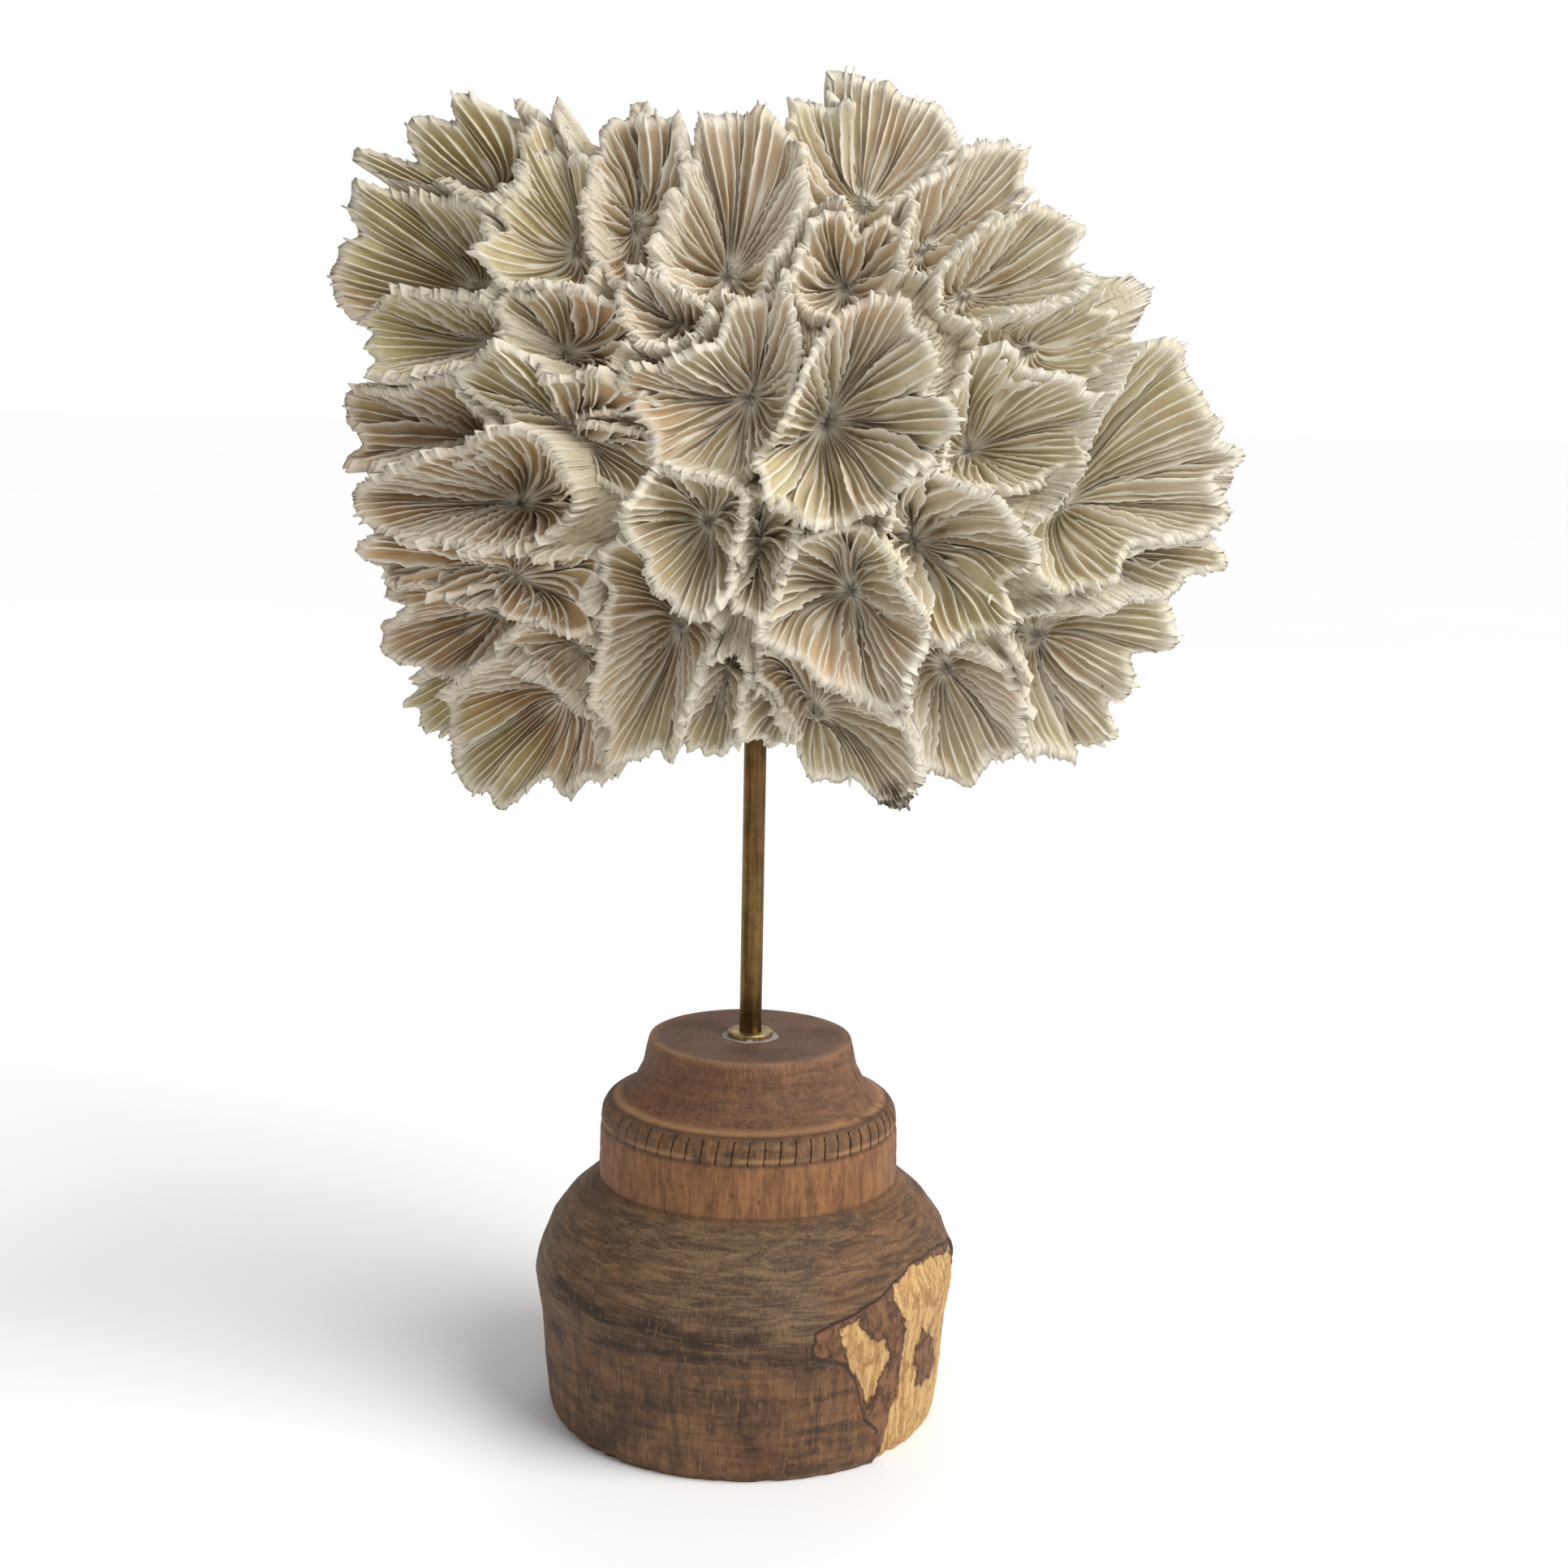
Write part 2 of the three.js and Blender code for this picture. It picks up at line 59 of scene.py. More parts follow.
# %% [markdown]
# ## The camera, the light and the floor
#
# The camera looks a little down on the stand from the front. A long lens keeps the proportions calm.
# It leans by about a degree, as a hand-held camera does, so the whole specimen leans to the right.
#
# The main light comes softly from the upper right, with two weak panels from the left and from
# behind. The room is seen as plain white but lights the stand at less than half of that, so the cups
# keep their shadows.

# %% The camera
camera_place = Vector((9.1, -773, 343)) * mm
camera_pitch = math.radians(10.26)
camera_roll = math.radians(1.12)
camera_lens = 58.06

camera_data = bpy.data.cameras.new("camera")
camera_data.lens = camera_lens
camera_data.sensor_width = 36
camera_data.clip_end = 20
camera = bpy.data.objects.new("camera", camera_data)
bpy.context.scene.collection.objects.link(camera)
looking = Matrix.Rotation(math.pi / 2 - camera_pitch, 4, "X") @ Matrix.Rotation(camera_roll, 4, "Z")
camera.matrix_world = Matrix.Translation(camera_place) @ looking
bpy.context.scene.camera = camera
bpy.context.scene.view_settings.view_transform = "Standard"
print("camera at", tuple(camera.location))


# %% The lights and the room
def aimed_light(name, kind, place, power, **settings):
    """A light at a place, in metres, that points at the middle of the stand."""
    data = bpy.data.lights.new(name, kind)
    data.energy = power
    for setting, value in settings.items():
        setattr(data, setting, value)
    lamp = bpy.data.objects.new(name, data)
    aim = Vector((0, 0, 0.25)) - Vector(place)
    lamp.matrix_world = Matrix.Translation(place) @ aim.to_track_quat("-Z", "Y").to_matrix().to_4x4()
    bpy.context.scene.collection.objects.link(lamp)


aimed_light("key_light", "SUN", (1.0, -0.6, 1.25), 2.95, angle=math.radians(45))
aimed_light("fill_light", "AREA", (-1.1, -0.9, 0.7), 0.3, shape="DISK", size=1.0)
aimed_light("back_light", "AREA", (0.2, 1.2, 1.2), 3.0, shape="DISK", size=0.9)

seen_brightness = 1.0
room_brightness = 0.42
room = bpy.data.worlds.new("pale_room")
room.use_nodes = True
room_light = room.node_tree.nodes["Background"]
room_light.inputs["Color"].default_value = (1, 1, 1, 1)
bpy.context.scene.world = room
rays = room.node_tree.nodes.new("ShaderNodeLightPath")
brightness = room.node_tree.nodes.new("ShaderNodeMapRange")
brightness.inputs["To Min"].default_value = room_brightness
brightness.inputs["To Max"].default_value = seen_brightness
room.node_tree.links.new(rays.outputs["Is Camera Ray"], brightness.inputs["Value"])
room.node_tree.links.new(brightness.outputs["Result"], room_light.inputs["Strength"])

# %% [markdown]
# ## Writing a finish as sums
#
# A finish is a network of nodes. Drawn by hand it is a web of wires. Written as code it can read like
# arithmetic: `0.4 + 0.2 * grain`. The class below wraps one output of a node. Adding, subtracting or
# multiplying two of them adds the Math node that does it, and returns its output wrapped again.
#
# Every other node comes from `node`, which takes the node's type, its settings, and what goes into
# its sockets: a plain value, or the wrapped output of another node.

# %% A wrapped output


class Wire:
    """One output of a node. Arithmetic on it adds Math nodes."""

    def __init__(self, tree, socket=None):
        self.tree = tree
        self.socket = socket

    def node(self, kind, settings=(), sockets=(), output=0):
        made = self.tree.nodes.new("ShaderNode" + kind)
        for name, value in dict(settings).items():
            setattr(made, name, value)
        for name, value in dict(sockets).items():
            if isinstance(value, Wire):
                self.tree.links.new(value.socket, made.inputs[name])
            else:
                made.inputs[name].default_value = value
        return Wire(self.tree, made.outputs[output])

    def sum(self, operation, first, second):
        return self.node("Math", {"operation": operation}, {0: first, 1: second})

    def __add__(self, other):
        return self.sum("ADD", self, other)

    def __sub__(self, other):
        return self.sum("SUBTRACT", self, other)

    def __rsub__(self, other):
        return self.sum("SUBTRACT", other, self)

    def __mul__(self, other):
        return self.sum("MULTIPLY", self, other)

    __radd__ = __add__
    __rmul__ = __mul__

    def size(self):
        """The number without its sign."""
        return self.node("Math", {"operation": "ABSOLUTE"}, {0: self})

    def above(self, low, high):
        """0 below low, 1 above high, and a soft step in between."""
        return self.node("MapRange", {"interpolation_type": "SMOOTHSTEP"},
                         {"Value": self, "From Min": low, "From Max": high})


def colour(red, green, blue):
    """A colour given as 0 to 255 on a screen, as light amounts."""
    share = [c / 255 for c in (red, green, blue)]
    light = [c / 12.92 if c <= 0.04045 else ((c + 0.055) / 1.055) ** 2.4 for c in share]
    return (*light, 1.0)


# %% [markdown]
# `Mix` has three sets of sockets with the same names, one for numbers, one for vectors and one for
# colours, so a colour goes into the sockets by number. The helper below starts a finish: it makes the
# material and gives back a wire with no socket, whose only use is to make nodes.

# %% Starting and ending a finish
def new_finish(name):
    material = bpy.data.materials.new(name)
    material.use_nodes = True
    return material, Wire(material.node_tree)


def set_shader(material, **sockets):
    """Puts plain values and wires into the shader, by names with _ for a space."""
    shader = material.node_tree.nodes["Principled BSDF"]
    for name, value in sockets.items():
        socket = shader.inputs[name.replace("_", " ")]
        if isinstance(value, Wire):
            material.node_tree.links.new(value.socket, socket)
        else:
            socket.default_value = value


def mix_colours(wire, amount, first, second):
    made = wire.node("Mix", {"data_type": "RGBA"}, {0: amount}, 2)
    node = made.socket.node
    for socket, value in ((node.inputs[6], first), (node.inputs[7], second)):
        if isinstance(value, Wire):
            wire.tree.links.new(value.socket, socket)
        else:
            socket.default_value = value
    return made


def noise(wire, where, scale, detail=3, roughness=0.55, distortion=0.0):
    return wire.node("TexNoise", {}, {"Vector": where, "Scale": scale, "Detail": detail,
                                      "Roughness": roughness, "Distortion": distortion})


def specks(wire, where, scale, low, high):
    """1 in small round spots, one in each cell of a random net."""
    cells = wire.node("TexVoronoi", {}, {"Vector": where, "Scale": scale, "Randomness": 1.0})
    return 1 - cells.above(low, high)


def attributes_of(wire, names):
    """The values that the mesh brings with its points, one wire for each name."""
    return [wire.node("Attribute", {"attribute_name": name}, output=2) for name in names.split()]


def stretched(wire, where, factors):
    return wire.node("Mapping", {}, {"Vector": where, "Scale": factors})


def x_and_z(wire, where):
    axes = wire.node("SeparateXYZ", {}, {"Vector": where})
    return axes, Wire(wire.tree, axes.socket.node.outputs[2])


def bump(wire, height, distance, strength=1.0):
    return wire.node("Bump", {}, {"Height": height, "Distance": distance, "Strength": strength})


# %% [markdown]
# ## The finish of the coral
#
# Dry coral is chalky and cream white. Five things change over it, and the mesh brings each as an
# attribute of its points:
#
# - `depth` is 0 at the rim of a cup and 1 at its eye, where dust and old stain make it olive and tan,
#   and painted shade makes it darker.
# - `groove` is 1 between two blades and 0 on a blade's edge. The grooves are darker, partly with stain
#   and partly with painted shade. Edges are worn white.
# - `outside` is 1 on the outer wall, which gets less stain and painted shade than the bowl.
# - `scar` is 1 where a tip has broken off and the old lime inside is dark.
# - `flank` is 1 on the skin between the cups, which has fine ribs all round the colony, with painted
#   shade in their valleys.
#
# Large soft noise makes one part of the colony greener and another browner, and the left side is
# darker, partly with dirt and partly with painted shade, as the main light comes from the right. Fine
# noise gives a gritty bump, and small dark specks sit in the grooves.

# %% The coral finish
colony_middle = np.array([12.0, 0.0, 306.0])
fine_ribs = 105
rib_wander = 14
# The left side is darkened between these two places across, in metres: partly dirt, partly painted
# shade.
lit_clean_side, shaded_soiled_side = 0.02, -0.09


def coral_stain_and_shade(wire, place, blotch, depth, groove, outside):
    """The chalk with its stains and painted shade: olive, tan and darker in the bowls, in the grooves
    and on the left side, whiter at rims and blade edges.
    """
    across, _ = x_and_z(wire, place)
    # Painted shade with some dirt on the left side, away from the main light.
    left = 1 - across.above(shaded_soiled_side, lit_clean_side)
    drift = noise(wire, place, 14, 2)
    stain = mix_colours(wire, drift.above(0.42, 0.6), colour(171, 152, 101), colour(166, 132, 92))
    bone = mix_colours(wire, blotch, colour(238, 229, 208), colour(218, 206, 180))
    # Stain and painted shade together: darker towards the eye of a cup, in the grooves and on the left
    # side.
    stain_and_shade = depth.above(0.05, 0.9) * 0.45 + groove * 0.4 + left * 0.46
    soil_and_shade = stain_and_shade * (1 - outside * 0.5) * (0.45 + blotch * 1.1)
    base = mix_colours(wire, soil_and_shade, bone, stain)
    crest = (1 - depth.above(0.0, 0.1)) * (1 - groove * 0.4)
    blade_edge = (1 - groove.above(0.05, 0.5)) * (1 - outside) * 0.6
    whiteness = crest * 0.6 + blade_edge * (1 - crest)
    pale = mix_colours(wire, whiteness, base, colour(240, 235, 221))
    high = (1 - depth.above(0.1, 0.5)) * groove * (1 - outside)
    tint_share = high * noise(wire, place, 32, 3).above(0.46, 0.62) * 0.6
    tint = mix_colours(wire, drift.above(0.44, 0.58), colour(196, 184, 128), colour(206, 166, 118))
    return mix_colours(wire, tint_share, pale, tint)


def coral_finish():
    material, wire = new_finish("coral_chalk")
    place = wire.node("TexCoord", output=3)
    depth, groove, outside, scar, flank = attributes_of(wire, "depth groove outside scar flank")
    blotch = noise(wire, place, 90, 4)
    tinted = coral_stain_and_shade(wire, place, blotch, depth, groove, outside)
    grit = noise(wire, place, 1400, 3, 0.7)
    lime = noise(wire, place, 420, 4, 0.7)
    speckled = specks(wire, place, 260, 0.1, 0.2) * noise(wire, place, 60, 2).above(0.56, 0.66) * groove
    coloured = mix_colours(wire, speckled * 0.75, tinted, colour(96, 74, 52))
    # Painted shade with some old stain, deep in the grooves near the eye of a cup.
    deep_stain_and_shade = mix_colours(wire, depth.above(0.45, 0.95) * groove * 0.6, coloured, colour(96, 76, 52))
    across, tall = x_and_z(wire, place)
    turn = wire.node("Math", {"operation": "ARCTAN2"}, {
        0: across - colony_middle[0] * mm, 1: tall - colony_middle[2] * mm})
    wander = noise(wire, place, 45, 3) * rib_wander
    wave = wire.node("Math", {"operation": "SINE"}, {0: turn * fine_ribs + wander})
    valley = wave.size() * flank
    # Painted shade in the valleys of the fine ribs between the cups.
    rib_valleys_shaded = mix_colours(wire, valley * (0.15 + blotch * 0.5), deep_stain_and_shade, colour(176, 158, 124))
    scarred = mix_colours(wire, scar * lime.above(0.4, 0.52) * 0.8, rib_valleys_shaded, colour(78, 64, 54))
    relief = grit * 0.6 + blotch * 0.4 + lime * (0.4 + outside * 2.4) - valley * 1.6
    set_shader(material, Base_Color=scarred, Roughness=0.72 + grit * 0.2,
               Normal=bump(wire, relief, 0.0007, 0.9))
    set_shader(material, Specular_IOR_Level=0.28)
    return material


coral_chalk = coral_finish()
print("coral finish:", len(coral_chalk.node_tree.nodes), "nodes")

# %% [markdown]
# ## The cups of the coral
#
# A cup of this coral is a funnel of thin wall that opens in wavy lobes. Inside it, hundreds of thin
# blades run from the eye up to the rim, where each ends in a small tooth. Every second blade is
# shorter and lower. On the outer wall the blades go on as fine ribs.
#
# Blades could be modelled one at a time, as copies of one blade along a curve. But each cup has
# another outline, and its blades merge with a wall that swells and folds. So this is one of the
# pieces that operators can't give: the cup is worked out as one sheet of points, in rows from the
# eye over the rim to the foot and in columns round it, and each blade is a ridge in that sheet.
#
# The construction model holds each cup as a cage. Its points are read back here: the eye is where
# most edges meet, the rim is the third ring of points round it, and the foot is the last point.

# %% Reading a cage
def merged_mesh(node):
    """The points of a node without doubles, in millimetres, and its faces as rows of point numbers."""
    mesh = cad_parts[node].data
    points = np.array([v.co for v in mesh.vertices], float) / mm
    merged, inverse = np.unique(np.round(points, 3), axis=0, return_inverse=True)
    faces = np.array([[inverse.ravel()[i] for i in face.vertices] for face in mesh.polygons])
    return merged, faces


def rings_round(neighbours, start):
    """Points at 1, 2, 3 ... edges from a start point."""
    seen = {start}
    ring = {start}
    while ring:
        ring = set().union(*(neighbours[p] for p in ring)) - seen
        seen |= ring
        if ring:
            yield ring


def in_turn(ring, neighbours):
    """A ring's points in order, each beside the next."""
    turn = [min(ring)]
    while len(turn) < len(ring):
        turn.append(min(p for p in neighbours[turn[-1]] & ring if p not in turn))
    return turn


def read_cage(node):
    """The eye, the rim and the foot of a cup. The rim is where the bowl turns into the wall."""
    points, faces = merged_mesh(node)
    neighbours = {i: set() for i in range(len(points))}
    for a, b, c in faces:
        neighbours[a] |= {b, c}
        neighbours[b] |= {a, c}
        neighbours[c] |= {a, b}
    count = (len(points) - 2) // 5
    best = None
    for start in (p for p in neighbours if len(neighbours[p]) == count):
        rings = list(rings_round(neighbours, start))
        if [len(r) for r in rings] != [count] * 5 + [1]:
            continue
        step = np.linalg.norm(points[list(rings[1])].mean(0) - points[list(rings[2])].mean(0))
        if best is None or step < best[0]:
            best = (step, start, rings)
    _, eye, rings = best
    rim = in_turn(rings[2], neighbours)
    foot = rings[5].pop()
    return points[eye], points[rim], points[foot]


# %% [markdown]
# The rim has only a dozen points, so a smooth closed curve goes through them. A centripetal curve is
# used, because it makes no loops where two points are close together.

# %% A smooth closed curve
def through(points, turn):
    """The smooth closed curve through points, where turn 2.5 is half way from point 2 to point 3."""
    whole = np.floor(turn).astype(int)
    p0, p1, p2, p3 = (points[(whole + k) % len(points)] for k in (-1, 0, 1, 2))
    t1 = np.sqrt(np.linalg.norm(p1 - p0, axis=-1, keepdims=True)) + 1e-6
    t2 = t1 + np.sqrt(np.linalg.norm(p2 - p1, axis=-1, keepdims=True)) + 1e-6
    t3 = t2 + np.sqrt(np.linalg.norm(p3 - p2, axis=-1, keepdims=True)) + 1e-6
    t = t1 + (turn - whole)[..., None] * (t2 - t1)
    a1 = (t1 - t) / t1 * p0 + t / t1 * p1
    a2 = (t2 - t) / (t2 - t1) * p1 + (t - t1) / (t2 - t1) * p2
    a3 = (t3 - t) / (t3 - t2) * p2 + (t - t2) / (t3 - t2) * p3
    b1 = (t2 - t) / t2 * a1 + t / t2 * a2
    b2 = (t3 - t) / (t3 - t1) * a2 + (t - t1) / (t3 - t1) * a3
    return (t2 - t) / (t2 - t1) * b1 + (t - t1) / (t2 - t1) * b2


def evenly_round(points, count):
    """Turns that stand evenly along the curve's length, and that length."""
    fine = np.linspace(0, len(points), 40 * len(points) + 1)
    steps = np.linalg.norm(np.diff(through(points, fine), axis=0), axis=1)
    length = np.concatenate([[0], np.cumsum(steps)])
    return np.interp(np.arange(count) * length[-1] / count, length, fine), length[-1]


def soft(x, low, high):
    t = np.clip((x - low) / (high - low), 0, 1)
    return t * t * (3 - 2 * t)


def waves(dice, around, periods):
    """A smooth random wave round the rim, between about -1 and 1, from a few whole numbers of waves."""
    total = sum(dice.normal() * np.sin(2 * np.pi * n * around + dice.uniform(0, 6.3)) for n in periods)
    return total / (1.2 * math.sqrt(len(periods)))


# %% [markdown]
# Now the sheet. All its settings are millimetres. A row's place between the eye and the rim is `t`,
# and a point of the bowl is a weighted mean of the rim, the foot and the eye, as in the construction
# model, so neighbouring bowls stay apart. The outer wall goes from the rim towards the middle of the
# colony, where the walls of all cups grow into each other.
#
# The blades are pushed out along the sheet's own normals, which come from the cross product of its
# steps along rows and columns. The lip gets its thickness in the same way. The columns stand close
# together at a blade and far apart between two blades, so that a blade is thin and its sides steep.
# A few cups have habits of their own: stronger swirls, a ragged rim, or a tip that broke off.

# %% The settings of a cup
blade_spacing = 3.1
blade_columns = np.array([0, 0.08, 0.16, 0.36, 0.5, 0.64, 0.84, 0.92])
blade_profile = np.array([1, 0.88, 0, -0.1, -0.14, -0.1, 0, 0.88])
long_blade, short_blade = 3.3, 1.9
long_rib, short_rib = 0.8, 0.4
lip_inside, lip_outside = 1.0, 1.2
tooth_length, lobe_depth, flute_height = 2.2, 1.3, 3.2
grit_size, eye_grain = 0.2, 1.6
inner_rows, outer_rows = 28, 9
wall_reach = 0.5

habits = {
    "coral_star_cup": {"swirl": 0.9, "blade": 1.15},
    "coral_right_inner_cup": {"swirl": 1.3, "blade": 1.2},
    "coral_middle_round_cup": {"swirl": 0.3, "blade": 1.1},
    "coral_broken_cup": {"blade": 0.6, "ragged": 2.6},
    "coral_bottom_hook_cup": {"ragged": 1.8, "scar": 13.0},
    "coral_left_shield": {"blade": 0.4},
}


def normals_of(grid):
    """The unit normals of a sheet of points that closes on itself along each row."""
    along = np.gradient(grid, axis=0)
    round_it = (np.roll(grid, -1, axis=1) - np.roll(grid, 1, axis=1)) / 2
    normal = np.cross(along, round_it)
    length = np.linalg.norm(normal, axis=2, keepdims=True)
    return normal / np.maximum(length, 1e-9)


# %% [markdown]
# The cup is worked out in two parts. `blades_round` draws what belongs to each blade: where it
# stands, how high it is and where it starts. `cup_sheet` then bends the bare sheet and lifts the
# blades out of it.

# %% The blades of one cup
def blades_round(rim, dice, habit):
    """The turn of each column, and the numbers of the blade that it belongs to."""
    rim_length = evenly_round(rim, 8)[1]
    blades = 2 * max(7, round(rim_length / blade_spacing / 2))
    place = (np.arange(blades)[:, None] + blade_columns).ravel()
    jitter = dice.uniform(-0.22, 0.22, blades + 1)
    jitter[-1] = jitter[0]
    shifted = place + np.interp(place, np.arange(blades + 1), jitter)
    nearest = np.round(place).astype(int) % blades
    major = nearest % 2 == 0
    height = dice.uniform(0.6, 1.25, blades)[nearest] * np.where(major, long_blade, short_blade)
    starts = np.where(major, dice.uniform(0.02, 0.12, blades)[nearest],
                      dice.uniform(0.25, 0.65, blades)[nearest])
    return rim_length, blades, shifted, nearest, major, height * habit.get("blade", 1.0), starts


def turns_on_rim(rim, blades, shifted):
    """The turns on the rim's curve of columns that are counted in blades, evenly along its length."""
    parts = 16
    evenly, _ = evenly_round(rim, blades * parts)
    table = np.concatenate([evenly, [len(rim)]])
    return np.interp(shifted % blades, np.arange(blades * parts + 1) / parts, table)


# %% The sheet of one cup
def cup_sheet(cage, dice, habit, rows_share=1.0):
    eye, rim, foot = cage
    swirl = habit.get("swirl", dice.uniform(-0.5, 0.5))
    ragged = habit.get("ragged", 1.0)
    rim_length, blades, shifted, nearest, major, height, starts = blades_round(rim, dice, habit)
    around = shifted / blades
    ridge = np.tile(blade_profile, blades)
    fluting = waves(dice, around, np.arange(3, 11)) * soft(rim_length, 40, 130)
    lobes = lobe_depth * ragged * waves(dice, around, np.arange(7, 22))
    tooth = tooth_length * ragged * dice.uniform(0, 1, blades)[nearest] ** 3 * np.maximum(ridge, 0)
    bend = waves(dice, around, np.arange(1, 6))

    rows = round(inner_rows * rows_share)
    t = (np.arange(1, rows + 1) / rows)[:, None]
    curl = swirl * 4 * (1 - t) * t + (0.5 + abs(swirl)) * 0.55 * np.sin(5 * t + 4 * bend)
    turned = shifted[None] + curl * (1 - t ** 3)
    rim_grid = through(rim, turns_on_rim(rim, blades, turned))
    sink = 0.8 * t * (1 - t)
    inner = t[..., None] * rim_grid + sink[..., None] * foot + (1 - t - sink)[..., None] * eye
    facing = (eye - foot) / np.linalg.norm(eye - foot)
    inner = inner + (soft(t, 0.35, 1) * flute_height * fluting)[..., None] * facing

    rows_out = round(outer_rows * rows_share)
    u = (np.arange(1, rows_out + 1) / rows_out)[:, None]
    v = (wall_reach * u ** 1.3)[..., None]
    outer = (1 - v) * inner[-1][None] + v * colony_middle
    bare = np.concatenate([inner, outer])

    normal = normals_of(bare)
    if (normal[:6].mean(axis=(0, 1)) * facing).sum() < 0:
        normal = -normal
    outward = (inner[-1] - inner[-3]) / np.linalg.norm(inner[-1] - inner[-3], axis=1, keepdims=True)
    worn = dice.uniform(0.8, 1.12, (rows, blades))[:, nearest]
    room = np.minimum(1, 0.3 + 0.5 * t * rim_length / blades)
    reach = soft(t, starts, starts + 0.25) * room
    up = ridge * height * reach * worn * (1 - 0.8 * soft(t, 0.72, 1))
    grains = dice.uniform(0, eye_grain, up.shape) * (1 - soft(t, 0.04, 0.15))
    grit = dice.normal(0, grit_size, (rows + rows_out, len(ridge)))
    rib_height = np.where(major, long_rib, short_rib) * dice.uniform(0.3, 1.4, (rows_out, len(ridge)))
    rib = ridge * rib_height * (1 - 0.5 * soft(u, 0.5, 1))
    lift = np.concatenate([up + grains + lip_inside * soft(t, 0.85, 1),
                           rib + lip_outside * soft(u, 0, 0.12)])
    edge = np.concatenate([soft(t, 0.8, 1), 1 - soft(u, 0, 0.3)])
    sheet = bare + normal * (lift + grit * (0.3 + edge))[..., None]
    sheet = sheet + edge[..., None] * ((lobes + tooth)[:, None] * outward)[None]

    depth = np.concatenate([1 - t + 0 * around, 0.35 * u + 0 * around])
    fading = np.concatenate([reach * (1 - 0.6 * soft(t, 0.86, 1)), 0.5 + 0 * rib])
    groove = (1 - np.maximum(ridge, 0)) * fading
    outside = np.concatenate([np.zeros_like(up), np.minimum(1, 3 * u) + 0 * rib])
    lowest = sheet.reshape(-1, 3)[sheet[..., 2].argmin()]
    scar = soft(habit.get("scar", 0) - np.linalg.norm(sheet - lowest, axis=2), 0, 7)
    sheet = sheet + normal * (scar * dice.normal(-0.6, 0.55, scar.shape))[..., None]
    marks = {"depth": depth, "groove": groove, "outside": outside, "scar": scar}
    return bare, rows, sheet, (eye, foot), marks


# %% [markdown]
# The sheet becomes a mesh: four points make a face, each row closes on itself, and the eye and the
# foot close the two ends. Meshes this large are filled with whole arrays, which takes a moment where
# one face at a time would take minutes. The sign of the volume tells if the faces point outwards.

# %% From a sheet to a mesh
def mesh_of_sheet(name, sheet, ends, attributes):
    rows, columns = sheet.shape[:2]
    points = np.concatenate([[ends[0]], sheet.reshape(-1, 3), [ends[1]]]) * mm
    number = 1 + np.arange(rows * columns).reshape(rows, columns)
    beside = np.roll(number, -1, axis=1)
    quads = np.stack([number[:-1], number[1:], beside[1:], beside[:-1]], axis=-1).reshape(-1, 4)
    first = np.stack([np.zeros(columns, int), number[0], beside[0]], axis=-1)
    last = np.stack([np.full(columns, len(points) - 1), beside[-1], number[-1]], axis=-1)
    a, b, c, d = (points[quads[:, k]] for k in range(4))
    volume = (a * np.cross(b, c)).sum() + (a * np.cross(c, d)).sum()
    if volume < 0:
        quads, first, last = quads[:, ::-1], first[:, ::-1], last[:, ::-1]
    corners = np.concatenate([first.ravel(), quads.ravel(), last.ravel()])
    sizes = np.concatenate([np.full(columns, 3), np.full(len(quads), 4), np.full(columns, 3)])
    mesh = bpy.data.meshes.new(name)
    mesh.vertices.add(len(points))
    mesh.vertices.foreach_set("co", points.ravel())
    mesh.loops.add(len(corners))
    mesh.loops.foreach_set("vertex_index", corners)
    mesh.polygons.add(len(sizes))
    mesh.polygons.foreach_set("loop_start", np.cumsum(sizes) - sizes)
    mesh.polygons.foreach_set("loop_total", sizes)
    mesh.update(calc_edges=True)
    mesh.shade_smooth()
    for key, values in attributes.items():
        held = mesh.attributes.new(key, "FLOAT", "POINT")
        ends_too = np.concatenate([[values[0].mean()], values.ravel(), [values[-1].mean()]])
        held.data.foreach_set("value", ends_too.astype(np.float32))
    made = bpy.data.objects.new(name, mesh)
    bpy.context.scene.collection.objects.link(made)
    return made


def settle(piece, material, slot, *nodes):
    """Gives a finished piece its material and its place on the stand, and hides the nodes that it stands
    for.
    """
    piece.data.materials.clear()
    piece.data.materials.append(material)
    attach(piece, "root")
    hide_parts(*nodes)


# %% All the cups
cup_nodes = sorted(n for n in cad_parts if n.startswith("coral_") and n != "coral_trunk")
faces_made = 0
bowls = []
for index, node in enumerate(cup_nodes):
    at_the_back = node.startswith("coral_back")
    bare, rows, sheet, ends, attributes = cup_sheet(
        read_cage(node), np.random.default_rng(100 + index), habits.get(node, {}),
        0.72 if at_the_back else 1.0)
    cup = mesh_of_sheet(node.replace("coral_", "cup_"), sheet, ends, attributes)
    settle(cup, coral_chalk, "coral", node)
    bowls.append((bare, rows, ends[0]))
    faces_made += len(cup.data.polygons)
print("cups:", len(cup_nodes), "with", 2 * faces_made, "triangles")

# %% [markdown]
# ## The flesh between the cups
#
# Between the cups the colony is filled with the same chalk, so that no cup stands alone. This
# filling could be a lumpy ball, but a ball either shows through the bowls or leaves gaps.
#
# So it starts as a fine ball, and every point of it looks inwards from outside. It goes below the
# deepest bowl that it meets on its way, or else just below a wall that faces it. Where it looks into
# a gap, it takes the mean height of its neighbours again and again, until it spans the gap. There it
# gets coarse ribs, lumps and soft swells, because the skin of such a colony is never smooth.

# %% What each point of the ball sees
row_skip, column_skip = 3, 4
least_facing = 0.25
seen_from, core_height, ray_step = 260, 20, 0.05


